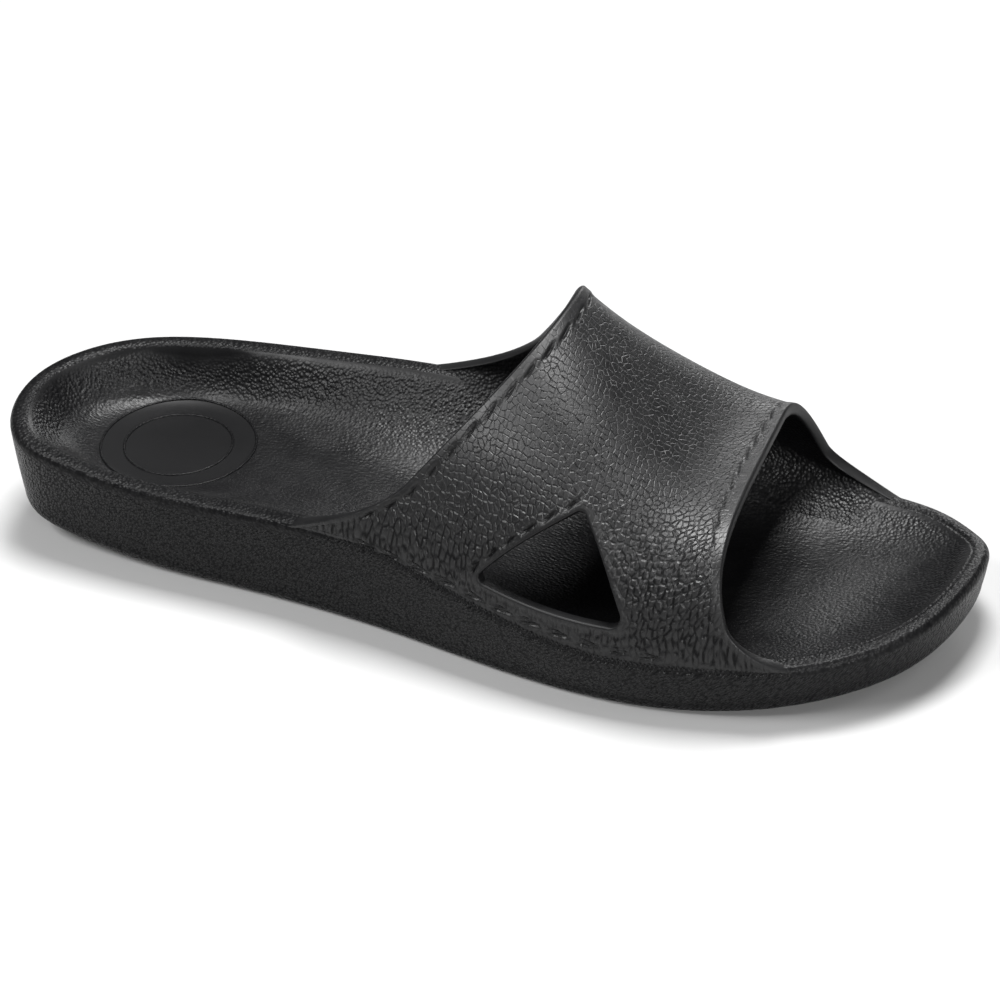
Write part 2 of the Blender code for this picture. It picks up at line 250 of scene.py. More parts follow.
@dataclass
class Last:
    """The shape of the last under the foot: outline, rim, bed and ground."""

    stations: Sequence[Station] = STATIONS
    length: float = 280.0
    heel_roll: float = 66.0
    heel_lift: float = 7.0
    heel_curve: float = 1.7
    toe_roll: float = 86.0
    toe_spring: float = 9.5
    spine_heel: float = 36.0
    spine_toe: float = 236.0
    nudge: float = 1e-4

    def __post_init__(self) -> None:
        """Draw the smooth loops through the stations."""
        self.outline_y = self.loop("lateral", "medial")
        self.rim = self.loop("rim_lateral", "rim_medial")
        self.cup = self.loop("cup_lateral", "cup_medial")
        self.lean = self.loop("lean", "lean")
        self.edge = self.loop("edge", "edge")
        self.bed = Spline(self.turn_of(self.column("along")), self.column("bed"))

    def column(self, name: str) -> Array:
        """Return one size of all stations."""
        return np.array([getattr(station, name) for station in self.stations])

    def turn_of(self, along: Array) -> Array:
        """Return the angle round the outline, from 0 at the heel to pi at the toe."""
        return np.arccos(np.clip(1 - 2 * np.asarray(along, float) / self.length, -1, 1))

    def along_of(self, turn: Array) -> Array:
        """Return the place along the foot at an angle round the outline."""
        return self.length / 2 * (1 - np.cos(turn))

    def loop(self, lateral: str, medial: str) -> Spline:
        """Draw a closed spline over the angle, out on the lateral side and back.

        Args:
            lateral: the size's name on the lateral side.
            medial: its name on the medial side.

        Returns:
            A spline that holds for angles from -2 pi to 4 pi.
        """
        turns = self.turn_of(self.column("along"))
        knots = np.concatenate([turns[:-1], LAP - turns[:0:-1]])
        values = np.concatenate([self.column(lateral)[:-1], self.column(medial)[:0:-1]])
        return Spline(
            np.concatenate([knots - LAP, knots, knots + LAP]), np.concatenate([values] * 3)
        )

    def ground(self, along: Array) -> Array:
        """Work out the bottom: flat, with a rolled heel and a toe spring.

        Args:
            along: places along the foot.

        Returns:
            The bottom's height at each.
        """
        heel = np.clip((self.heel_roll - along) / self.heel_roll, 0, 1)
        toe = np.clip((along - self.length + self.toe_roll) / self.toe_roll, 0, 1)
        return self.heel_lift * heel**self.heel_curve + self.toe_spring * toe**2

    def outline(self, turn: Array) -> tuple[Array, Array]:
        """Lay out the outline in plan.

        Args:
            turn: angles round the outline.

        Returns:
            The points, and the directions that point inwards from them.
        """
        points = np.stack([self.along_of(turn), self.outline_y(turn)], -1)
        ahead, behind = turn + self.nudge, turn - self.nudge
        run_x = self.along_of(ahead) - self.along_of(behind)
        run_y = self.outline_y(ahead) - self.outline_y(behind)
        return points, unit(np.stack([-run_y, run_x], -1))

    def spine(self, turn: Array) -> Array:
        """Lay out the middle line that the rings of bed and bottom close on.

        Args:
            turn: angles round the outline.

        Returns:
            The point of the line for each angle.
        """
        along = self.spine_heel + (self.spine_toe - self.spine_heel) * (1 - np.cos(turn)) / 2
        here = self.turn_of(along)
        middle = (self.outline_y(here) + self.outline_y(LAP - here)) / 2
        return np.stack([along, middle], -1)


LAST = Last()
FINE_TURNS = np.linspace(0, LAP, 4001)
BOX_MIDDLE = (Vector(CAD_BOX[0]) + Vector(CAD_BOX[1])) / 2
OUTLINE_SPAN = LAST.outline_y(FINE_TURNS)
SHIFT = np.array(
    [
        BOX_MIDDLE.x / MM - LAST.length / 2,
        BOX_MIDDLE.y / MM - (OUTLINE_SPAN.min() + OUTLINE_SPAN.max()) / 2,
        0.0,
    ]
)


def place(points: Array) -> Array:
    """Return points moved from the moulder's frame into the model, in metres."""
    return (points + SHIFT) * MM


def linear(colour: str) -> tuple[float, float, float, float]:
    """Turn an sRGB hex colour into linear light.

    Args:
        colour: six hex digits after a hash.

    Returns:
        Linear red, green, blue and an alpha of 1.
    """
    parts = [int(colour[i : i + 2], 16) / 255 for i in (1, 3, 5)]
    light = [((c + 0.055) / 1.055) ** 2.4 if c > 0.04045 else c / 12.92 for c in parts]
    return (*light, 1.0)


def add_node(
    tree: bpy.types.NodeTree,
    kind: str,
    settings: dict[Any, Any] | None = None,
    links: dict[Any, Any] | None = None,
) -> bpy.types.Node:
    """Add a node with its settings and links.

    Args:
        tree: the material's node tree.
        kind: the node's type, without the ShaderNode in front.
        settings: properties by name, and socket values by socket name or number.
        links: what feeds each named or numbered input: an output, or a node for its first.

    Returns:
        The new node.
    """
    node = tree.nodes.new("ShaderNode" + kind)
    for key, value in (settings or {}).items():
        if isinstance(key, str) and hasattr(node, key):
            setattr(node, key, value)
        else:
            node.inputs[key].default_value = value
    for key, source in (links or {}).items():
        output = source.outputs[0] if isinstance(source, bpy.types.Node) else source
        tree.links.new(output, node.inputs[key])
    return node


@dataclass(frozen=True)
class FoamFinish:
    """Moulded skin of black foamed EVA: satin, a little greyer where it is rubbed.

    The closed skin copies the mould, so the gloss of each zone is the mould's own
    texture. The specular level is lowered in the relief's hollows as painted shade, which the
    bump alone doesn't cast. Foamed EVA has an IOR of about 1.48. The skin's haze is too fine
    to show, and is drawn at half a millimetre.
    """

    name: str
    colour: str = "#060607"
    rubbed: str = "#0c0c0d"
    roughness: float = 0.43
    roughness_swing: float = 0.12
    cloud_mm: float = 9.0
    cloud_range: tuple[float, float] = (0.3, 0.7)
    haze_mm: float = 0.5
    haze_depth: float = 0.006
    ior: float = 1.48
    specular: float = 0.42
    # Painted shade: the specular level drops to this in the relief's hollows, rising to the full
    # level over these relief heights in mm.
    painted_shade_specular: float = 0.1
    painted_shade_mm: tuple[float, float] = (-0.4, -0.08)

    def relief(self, tree: bpy.types.NodeTree) -> bpy.types.Node | None:
        """Return the node that gives the moulded relief in mm, or None if it is plain."""
        return None

    def gloss(self, tree: bpy.types.NodeTree, plain: Any) -> Any:
        """Return the output that gives the roughness, made from the plain one."""
        return plain

    def material(self) -> bpy.types.Material:
        """Build the material.

        Returns:
            A Principled material with the skin's colour, gloss and relief.
        """
        made = bpy.data.materials.new(self.name)
        made.use_nodes = True
        tree = made.node_tree
        surface = tree.nodes["Principled BSDF"]
        surface.inputs["IOR"].default_value = self.ior
        surface.inputs["Specular IOR Level"].default_value = self.specular
        spot = add_node(tree, "TexCoord").outputs["Object"]
        wide = {"Scale": 1 / (self.cloud_mm * MM), "Detail": 4.0, "Roughness": 0.6}
        cloud = add_node(tree, "TexNoise", wide, {"Vector": spot})
        tones = {"data_type": "RGBA", 6: linear(self.colour), 7: linear(self.rubbed)}
        tone = add_node(tree, "Mix", tones, {0: cloud})
        swing = self.roughness_swing / 2
        glosses = (*self.cloud_range, self.roughness - swing, self.roughness + swing)
        plain = add_node(tree, "MapRange", dict(zip(RANGE, glosses)), {"Value": cloud})
        fine = {"Scale": 1 / (self.haze_mm * MM), "Detail": 2.0}
        haze = add_node(tree, "TexNoise", fine, {"Vector": spot})
        shallow = {"Strength": 1.0, "Distance": self.haze_depth * MM}
        bump = add_node(tree, "Bump", shallow, {"Height": haze})
        sources = {
            "Base Color": tone.outputs[2],
            "Roughness": self.gloss(tree, plain.outputs[0]),
        }
        relief = self.relief(tree)
        if relief is not None:
            full = {"Strength": 1.0, "Distance": MM}
            bump = add_node(tree, "Bump", full, {"Height": relief, "Normal": bump})
            # Painted shade in the hollows: the specular level follows the relief's height.
            painted_shade_levels = (*self.painted_shade_mm, self.painted_shade_specular, self.specular)
            painted_shade_level = add_node(tree, "MapRange", dict(zip(RANGE, painted_shade_levels)), {"Value": relief})
            sources["Specular IOR Level"] = painted_shade_level.outputs[0]
        sources["Normal"] = bump.outputs[0]
        for name, source in sources.items():
            tree.links.new(source, surface.inputs[name])
        return made


@dataclass(frozen=True)
class LeatherGrainFoam(FoamFinish):
    """Skin moulded against an etched leather grain: raised scales with cut borders.

    The scales lap like shingles on top of the upper, so each shows a thin crescent of
    light, and they lengthen into upright folds near the sole. Where a groove or a lap has
    two sizes, the first holds on top and the second in the folds.
    """

    scale_mm: float = 1.8
    scatter: float = 0.75
    smoothing: float = 0.08
    warp_mm: float = 5.0
    warp_by: float = 1.4
    groove_share: tuple[float, float] = (0.14, 0.4)
    groove_depth: tuple[float, float] = (0.13, 0.42)
    groove_back: tuple[float, float] = (0.35, 1.25)
    facing_range: tuple[float, float] = (0.2, 0.9)
    break_mm: float = 1.7
    break_range: tuple[float, float] = (0.38, 0.62)
    break_share: tuple[float, float] = (0.5, 1.1)
    lap_depth: tuple[float, float] = (-0.05, 0.03)
    lap_way: tuple[float, float, float] = (-0.2, 0.98, 0.0)
    pore_mm: float = 0.6
    pore_depth: float = 0.05

    def relief(self, tree: bpy.types.NodeTree) -> bpy.types.Node:
        """Draw the scales on the upper's own chart.

        Args:
            tree: the material's node tree.

        Returns:
            The node that gives the grain's height in mm.
        """
        chart = add_node(tree, "UVMap", {"uv_map": "chart"})
        folds, amount = (
            add_node(tree, "Attribute", {"attribute_name": name}).outputs["Fac"]
            for name in ("folds", "grain")
        )
        flat = {"noise_dimensions": "2D"}
        wave, breaks, pores = (
            add_node(
                tree, "TexNoise", {**flat, "Scale": 1 / size, "Detail": detail}, {"Vector": chart}
            )
            for size, detail in ((self.warp_mm, 1.0), (self.break_mm, 1.0), (self.pore_mm, 2.0))
        )
        swing = {"operation": "MULTIPLY_ADD", 1: (self.warp_by, self.warp_by, 0.0)}
        warped = add_node(tree, "VectorMath", swing, {0: wave.outputs["Color"], 2: chart})
        cell = {"voronoi_dimensions": "2D", "Scale": 1 / self.scale_mm, "Randomness": self.scatter}
        border, first, second = (
            add_node(tree, "TexVoronoi", {**cell, "feature": feature}, {"Vector": warped})
            for feature in ("DISTANCE_TO_EDGE", "F1", "F2")
        )
        rounded = {**cell, "feature": "SMOOTH_F1", "Smoothness": self.smoothing}
        scale = add_node(tree, "TexVoronoi", rounded, {"Vector": warped})
        minus, times = {"operation": "SUBTRACT"}, {"operation": "MULTIPLY"}
        toward = {"operation": "DOT_PRODUCT", 1: self.lap_way}
        offset = add_node(tree, "VectorMath", minus, {0: warped, 1: scale.outputs["Position"]})
        down = add_node(tree, "VectorMath", toward, {0: offset}).outputs["Value"]
        centres = {0: second.outputs["Position"], 1: first.outputs["Position"]}
        apart = add_node(tree, "VectorMath", minus, centres)
        way = add_node(tree, "VectorMath", {"operation": "NORMALIZE"}, {0: apart})
        facing = add_node(tree, "VectorMath", toward, {0: way}).outputs["Value"]
        level = add_node(tree, "Math", {"operation": "ABSOLUTE"}, {0: facing})
        lap, least, deepest, slope = (
            add_node(tree, "MapRange", dict(zip(RANGE, (0.0, 1.0, *pair))), {"Value": folds})
            for pair in (
                [depth / self.scale_mm for depth in self.lap_depth],
                self.groove_back,
                [-depth for depth in self.groove_depth],
                self.groove_share,
            )
        )
        facings = dict(zip(RANGE, self.facing_range))
        side = add_node(tree, "MapRange", facings, {"Value": level, "To Min": least})
        shares = dict(zip(RANGE, (*self.break_range, *self.break_share)))
        open_share = add_node(tree, "MapRange", shares, {"Value": breaks})
        faced = add_node(tree, "Math", times, {0: side, 1: open_share})
        cut = add_node(tree, "Math", times, {0: deepest, 1: faced})
        pillow = add_node(
            tree,
            "MapRange",
            {"interpolation_type": "SMOOTHSTEP", "To Max": 0.0},
            {"Value": border.outputs["Distance"], "From Max": slope, "To Min": cut},
        )
        lapped = add_node(tree, "Math", times, {0: down, 1: lap})
        body = add_node(tree, "Math", {"operation": "ADD"}, {0: lapped, 1: pillow})
        pored = {"operation": "MULTIPLY_ADD", 1: self.pore_depth}
        height = add_node(tree, "Math", pored, {0: pores, 2: body})
        return add_node(tree, "Math", times, {0: height, 1: amount})


@dataclass(frozen=True)
class PebbleFoam(FoamFinish):
    """Skin moulded against a fine etched grain: long pebbles that lean forward, low gloss.

    The etched grain is about half a millimetre wide, and is drawn coarser so that it shows.
    """

    grain_mm: tuple[float, float, float] = (1.35, 0.75, 0.65)
    grain_depth: float = 0.58
    lean: float = 50.0
    smoothing: float = 0.15

    def relief(self, tree: bpy.types.NodeTree) -> bpy.types.Node:
        """Draw the pebbles.

        Args:
            tree: the material's node tree.

        Returns:
            The node that gives their height in mm.
        """
        spot = add_node(tree, "TexCoord").outputs["Object"]
        lie = {
            "vector_type": "TEXTURE",
            "Rotation": (0.0, -math.radians(self.lean), 0.0),
            "Scale": tuple(size * MM for size in self.grain_mm),
        }
        leaned = add_node(tree, "Mapping", lie, {"Vector": spot})
        cell = {"feature": "SMOOTH_F1", "Scale": 1.0, "Smoothness": self.smoothing}
        pebble = add_node(tree, "TexVoronoi", cell, {"Vector": leaned})
        heights = dict(zip(RANGE, (0.0, CELL_REACH, self.grain_depth, 0.0)))
        return add_node(tree, "MapRange", heights, {"Value": pebble.outputs["Distance"]})


@dataclass(frozen=True)
class FootbedFoam(FoamFinish):
    """Skin moulded against a worn leather grain: fine pebbles, with streaks along the foot.

    The pebbles are about half a millimetre wide, and are drawn coarser so that they show.
    """

    pebble_mm: float = 0.95
    pebble_depth: float = 0.26
    smoothing: float = 0.3
    streak_mm: tuple[float, float, float] = (2.0, 0.65, 1.6)
    streak_depth: float = 0.22
    stamp_middle: tuple[float, float] = (46.7, 0.5)
    stamp_radius: float = 22.4
    stamp_blur: float = 0.4
    stamp_roughness: float = 0.47

    def outside(self, tree: bpy.types.NodeTree) -> bpy.types.Node:
        """Tell the round stamp from the bed round it.

        Args:
            tree: the material's node tree.

        Returns:
            The node that gives 0 in the stamp and 1 outside it.
        """
        spot = add_node(tree, "TexCoord").outputs["Object"]
        level = {"operation": "MULTIPLY", 1: (1.0, 1.0, 0.0)}
        flat = add_node(tree, "VectorMath", level, {0: spot})
        middle = tuple(place(np.array([*self.stamp_middle, 0.0])))
        reach = add_node(tree, "VectorMath", {"operation": "DISTANCE", 1: middle}, {0: flat})
        edge = [(self.stamp_radius + by) * MM for by in (-self.stamp_blur, self.stamp_blur)]
        gap = {"Value": reach.outputs["Value"]}
        return add_node(tree, "MapRange", dict(zip(RANGE, edge)), gap)

    def gloss(self, tree: bpy.types.NodeTree, plain: Any) -> Any:
        """Keep the gloss even in the stamp.

        Args:
            tree: the material's node tree.
            plain: the output that gives the plain roughness.

        Returns:
            The output that gives the roughness.
        """
        even = {"data_type": "FLOAT", 2: self.stamp_roughness}
        return add_node(tree, "Mix", even, {0: self.outside(tree), 3: plain}).outputs[0]

    def relief(self, tree: bpy.types.NodeTree) -> bpy.types.Node:
        """Draw the grain: none in the stamp and beside the rim.

        Args:
            tree: the material's node tree.

        Returns:
            The node that gives its height in mm.
        """
        spot = add_node(tree, "TexCoord").outputs["Object"]
        coarse, amount = (
            add_node(tree, "Attribute", {"attribute_name": name}).outputs["Fac"]
            for name in ("coarse", "grain")
        )
        times = {"operation": "MULTIPLY"}
        cell = {"Scale": 1 / (self.pebble_mm * MM), "Smoothness": self.smoothing}
        pebble = add_node(
            tree, "TexVoronoi", {"feature": "SMOOTH_F1", **cell}, {"Vector": spot}
        )
        heights = dict(zip(RANGE, (0.0, CELL_REACH, self.pebble_depth, 0.0)))
        pebbles = add_node(tree, "MapRange", heights, {"Value": pebble.outputs["Distance"]})
        drawn = tuple(1 / (size * MM) for size in self.streak_mm)
        along = add_node(tree, "VectorMath", {**times, 1: drawn}, {0: spot})
        streak = add_node(tree, "TexNoise", {"Scale": 1.0, "Detail": 3.0}, {"Vector": along})
        streaks = add_node(tree, "Math", {**times, 1: self.streak_depth}, {0: streak})
        grains = {0: coarse, 2: streaks, 3: pebbles}
        grain = add_node(tree, "Mix", {"data_type": "FLOAT"}, grains)
        shown = add_node(tree, "Math", times, {0: amount, 1: self.outside(tree)})
        return add_node(tree, "Math", times, {0: grain, 1: shown})


# Etched leather grain on the upper: lit tops of scales, with dark borders between them, darkened by
# the bumps and by painted shade in the specular level.
LEATHER_GRAIN = LeatherGrainFoam("eva_foam_leather_grain")
# Plain mould steel on the cut edges and the threads: a dull and even sheen.
SMOOTH = FoamFinish("eva_foam_smooth", roughness=0.48, specular=0.28)
# Etched grain on the wall: dark, with a fine leaning glitter on the pebbles' tops, and painted shade
# in the specular level of their hollows.
WALL_PEBBLE = PebbleFoam(
    "eva_foam_pebbled",
    colour="#050506",
    roughness=0.36,
    specular=0.4,
    painted_shade_specular=0.04,
    painted_shade_mm=(-0.1, 0.55),
)
# Finely blasted mould on the rim, the cord and the rings: a soft line of light, with painted shade
# in the specular level of its fine hollows.
SATIN = PebbleFoam(
    "eva_foam_satin",
    roughness=0.43,
    specular=0.22,
    painted_shade_specular=0.1,
    grain_mm=(0.95, 0.95, 0.95),
    grain_depth=0.14,
    painted_shade_mm=(0.0, 0.12),
)
# Blasted core inside the upper: dull, with a fine and even pebble, and painted shade in the specular
# level of its hollows.
LINING = PebbleFoam(
    "eva_foam_lining",
    roughness=0.43,
    specular=0.32,
    painted_shade_specular=0.18,
    grain_mm=(0.95, 0.95, 0.95),
    grain_depth=0.2,
    painted_shade_mm=(0.0, 0.2),
)
# Worn leather grain on the bed: light streaks along the foot, pebbles up its sides, and painted
# shade in the specular level of their hollows.
FOOTBED = FootbedFoam(
    "eva_foam_footbed", roughness=0.41, specular=0.36, painted_shade_specular=0.2, painted_shade_mm=(0.0, 0.25)
)


def drop(tree: BVHTree, point: Array) -> float:
    """Find the top of the sole under a point.

    Args:
        tree: the sole's faces.
        point: the point, in the moulder's frame.

    Returns:
        The height there in mm, or 0 beside the sole.
    """
    spot = Vector(place(np.array([point[0], point[1], OVERHEAD])))
    hit = tree.ray_cast(spot, Vector((0.0, 0.0, -1.0)))[0]
    return hit.z / MM if hit is not None else 0.0


def make_piece(
    name: str,
    points: Array,
    faces: Sequence[Sequence[int]],
    finishes: Sequence[FoamFinish],
    zones: Sequence[int] | None = None,
) -> bpy.types.Object:
    """Make one smooth piece that rides on the frame and stands for the slide.

    Args:
        name: the piece's name.
        points: its points, in the moulder's frame.
        faces: the corners of each face.
        finishes: its finishes, in the order of its material slots.
        zones: the material slot of each face, or None for the first.

    Returns:
        The new object.
    """
    mesh = bpy.data.meshes.new(name)
    mesh.from_pydata(place(points).tolist(), [], [list(face) for face in faces])
    for finish in finishes:
        known = bpy.data.materials.get(finish.name)
        mesh.materials.append(known or finish.material())
    if zones is not None:
        mesh.polygons.foreach_set("material_index", np.asarray(zones, np.int32))
    mesh.shade_smooth()
    mesh.update()
    piece = bpy.data.objects.new(name, mesh)
    bpy.context.scene.collection.objects.link(piece)
    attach(piece, BODY)
    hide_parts(NODE)
    return piece


def add_measure(piece: bpy.types.Object, name: str, values: Array) -> None:
    """Give each point of a piece a number that its finish can read.

    Args:
        piece: the piece.
        name: the measure's name.
        values: one number for each point.
    """
    measure = piece.data.attributes.new(name, "FLOAT", "POINT")
    measure.data.foreach_set("value", np.asarray(values, np.float32))


def add_chart(piece: bpy.types.Object, name: str, places: Array) -> None:
    """Give a piece a flat chart of its own sizes, as a UV map in millimetres.

    Args:
        piece: the piece.
        name: the chart's name.
        places: two numbers for each point.
    """
    chart = piece.data.uv_layers.new(name=name)
    corners = np.zeros(len(piece.data.loops), np.int32)
    piece.data.loops.foreach_get("vertex_index", corners)
    chart.data.foreach_set("uv", places[corners].astype(np.float32).ravel())


@dataclass
class Sole:
    """Sole of the slide: bottom, wall, rim and footbed in one closed skin."""

    last: Last
    rim_round: float = 2.6
    rim_land: float = 1.6
    rim_drop: float = 0.7
    wall_lean: tuple[float, float] = (-1.32, 0.32)
    parting_inset: float = 4.6
    parting_width: float = 0.35
    parting_depth: float = 0.3
    parting_toe: tuple[float, float] = (225.0, 250.0)
    band_mm: tuple[float, float] = (-0.5, 2.5)
    coarse_least: float = 0.3
    coarse_rise: tuple[float, float] = (1.0, 7.0)
    outline_steps: int = 660
    bottom_steps: int = 14
    edge_steps: int = 8
    wall_steps: int = 16
    rim_steps: int = 9
    land_steps: int = 8
    bed_steps: int = 46
    bed_crowding: float = 1.35
    lip_passes: int = 30
    stamp_press: tuple[float, float] = (16.0, 33.0)
    cord_run: tuple[float, float, float, float] = (98.0, 118.0, 232.0, 246.0)

    @property
    def turns(self) -> Array:
        """Return the angles of the points of a ring."""
        return np.linspace(0, LAP, self.outline_steps, endpoint=False)

    @property
    def lip(self) -> float:
        """Return how far inside the outline the footbed starts."""
        return self.rim_round + 2 * self.rim_land

    def rings(self) -> tuple[Array, list[Zone]]:
        """Lay the rings from the middle of the bottom over the wall to that of the bed.

        Returns:
            The rings' points, and the zone of each ring.
        """
        turn, last = self.turns, self.last
        edge, inward = last.outline(turn)
        middle = last.spine(turn)
        lean, curve, rim = last.lean(turn), last.edge(turn), last.rim(turn)
        rings: list[Array] = []
        zones: list[Zone] = []

        def lay(plan: Array, height: Array, zone: Zone) -> None:
            """Add one ring."""
            rings.append(np.column_stack([plan, height]))
            zones.append(zone)

        def inset(by: Array) -> Array:
            """Return the outline moved in."""
            return edge + inward * np.broadcast_to(by, turn.shape)[:, None]

        flat = inset(lean + curve)
        for share in np.linspace(1, 0, self.bottom_steps):
            plan = flat + (middle - flat) * share
            lay(plan, last.ground(plan[:, 0]), Zone.BOTTOM)
        foot = last.ground(flat[:, 0])
        for angle in np.linspace(0, math.pi / 2, self.edge_steps + 1)[1:]:
            height = foot + curve * (1 - math.cos(angle))
            lay(inset(lean + curve * (1 - math.sin(angle))), height, Zone.WALL)
        low, high = foot + curve, rim - self.rim_round
        for share in np.linspace(0, 1, self.wall_steps + 1)[1:-1]:
            swell = 1 + self.wall_lean[0] * share + self.wall_lean[1] * share**2
            lay(inset(lean * swell), low + (high - low) * share, Zone.WALL)
        for angle in np.linspace(0, math.pi / 2, self.rim_steps + 1):
            by = self.rim_round * (1 - math.cos(angle))
            lay(inset(by), high + self.rim_round * math.sin(angle), Zone.RIM)
        for share in np.linspace(0, 1, self.land_steps + 1)[1:-1]:
            fall = self.rim_drop * max(0.0, 2 * share - 1)
            lay(inset(self.rim_round + 2 * self.rim_land * share), rim - fall, Zone.RIM)
        lip = inset(self.lip)
        depth = rim - self.rim_drop - last.bed(last.turn_of(lip[:, 0]))
        for share in np.linspace(0, 1, self.bed_steps) ** self.bed_crowding:
            plan = lip + (middle - lip) * share
            rise = depth * (1 - share) ** last.cup(turn)
            lay(plan, last.bed(last.turn_of(plan[:, 0])) + rise, Zone.BED)
        return np.array(rings), zones

    def soften(self, rings: Array, zones: list[Zone]) -> Array:
        """Round the lip between rim and bed, then cut the mould's parting line there.

        Args:
            rings: the rings' points.
            zones: the zone of each ring.

        Returns:
            The rings with a soft lip.
        """
        first = zones.index(Zone.RIM) + self.rim_steps - 2
        stop = zones.index(Zone.BED) + self.bed_steps // 3
        for _ in range(self.lip_passes):
            side = rings[first - 1 : stop - 1] + rings[first + 1 : stop + 1]
            rings[first:stop] = (side + 2 * rings[first:stop]) / 4
        edge, _ = self.last.outline(self.turns)
        inset = np.linalg.norm(rings[first:, :, :2] - edge, axis=-1)
        cut = np.exp(-(((inset - self.parting_inset) / self.parting_width) ** 2))
        shown = smoothstep(*self.parting_toe, rings[first:, :, 0])
        rings[first:, :, 2] -= self.parting_depth * cut * shown
        return rings

    def press(self, rings: Array, zones: list[Zone]) -> Array:
        """Press the round stamp flat into the heel of the bed.

        Args:
            rings: the rings' points.
            zones: the zone of each ring.

        Returns:
            The rings with a flat place for the stamp.
        """
        bed = rings[zones.index(Zone.BED) :]
        reach = np.linalg.norm(bed[..., :2] - np.array(FOOTBED.stamp_middle), axis=-1)
        level = self.last.bed(self.last.turn_of(bed[..., 0]))
        kept = smoothstep(*self.stamp_press, reach)
        bed[..., 2] = level + (bed[..., 2] - level) * kept
        return rings

    def slots(self, zones: list[Zone]) -> Array:
        """Give each face its finish; the wall's grain climbs to the cord beside the upper.

        Args:
            zones: the zone of each ring.

        Returns:
            The material slot of each face, ring by ring.
        """
        along = self.last.outline(self.turns)[0][:, 0]
        run = smoothstep(*self.cord_run[:2], along) * (1 - smoothstep(*self.cord_run[2:], along))
        climb = np.round(run * (self.rim_steps / 2 + 1))
        ring = np.arange(len(zones) - 1)[:, None] - zones.index(Zone.RIM) + 1
        slots = np.repeat([[zone.value] for zone in zones[1:]], self.outline_steps, axis=1)
        slots[(ring >= 0) & (ring < climb)] = Zone.WALL.value
        return slots

    def build(self) -> bpy.types.Object:
        """Build the sole.

        Returns:
            The piece.
        """
        rings, zones = self.rings()
        rings = self.press(self.soften(rings, zones), zones)
        count, steps = rings.shape[:2]
        numbers = np.arange(count * steps).reshape(count, steps)
        mirrored = np.minimum(np.arange(steps), (steps - np.arange(steps)) % steps)
        numbers[0] = numbers[0, mirrored]
        numbers[-1] = numbers[-1, mirrored]
        ahead = np.roll(numbers, -1, axis=1)
        faces = np.stack([numbers[:-1], ahead[:-1], ahead[1:], numbers[1:]], -1).reshape(-1, 4)
        used, fresh = renumber(faces, count * steps)
        piece = make_piece(
            "sole",
            rings.reshape(-1, 3)[used],
            fresh[faces],
            (WALL_PEBBLE, WALL_PEBBLE, SATIN, FOOTBED),
            self.slots(zones).reshape(-1),
        )
        self.dress(piece, rings, used)
        return piece

    def dress(self, piece: bpy.types.Object, rings: Array, used: Array) -> None:
        """Say where the footbed's grain fades out and where it is coarse.

        Args:
            piece: the sole.
            rings: the rings' points.
            used: which points the piece has.
        """
        edge, _ = self.last.outline(self.turns)
        inset = np.linalg.norm(rings[..., :2] - edge, axis=-1) - self.lip
        grain = smoothstep(*self.band_mm, inset)
        steep = rings[..., 2] - self.last.bed(self.last.turn_of(rings[..., 0]))
        coarse = self.coarse_least + (1 - self.coarse_least) * smoothstep(*self.coarse_rise, steep)
        add_measure(piece, "grain", grain.reshape(-1)[used])
        add_measure(piece, "coarse", coarse.reshape(-1)[used])


@dataclass(frozen=True)
class Arch:
    """One arch of the upper, in millimetres; rounds and sweeps are powers."""

    share: float
    lateral_foot: float
    medial_foot: float
    ridge_x: float
    ridge_y: float
    ridge_z: float
    lateral_round: float
    medial_round: float
    lateral_sweep: float
    medial_sweep: float
    lateral_tail: float
    medial_tail: float


ARCHES = (
    Arch(0.00, 118.5, 125.0, 165.0, 12.0, 89.5, 2.0, 2.0, 1.15, 0.64, -24.0, -18.0),
    Arch(0.35, 155.0, 161.0, 182.5, 10.0, 76.0, 2.4, 2.1, 1.05, 0.70, 0.0, 0.0),
    Arch(0.70, 193.0, 199.0, 206.0, 15.0, 58.5, 3.0, 2.45, 0.90, 0.60, 0.0, 0.0),
    Arch(1.00, 228.5, 237.0, 219.5, 24.5, 54.8, 4.2, 2.1, 0.68, 0.52, 14.0, 16.0),
)


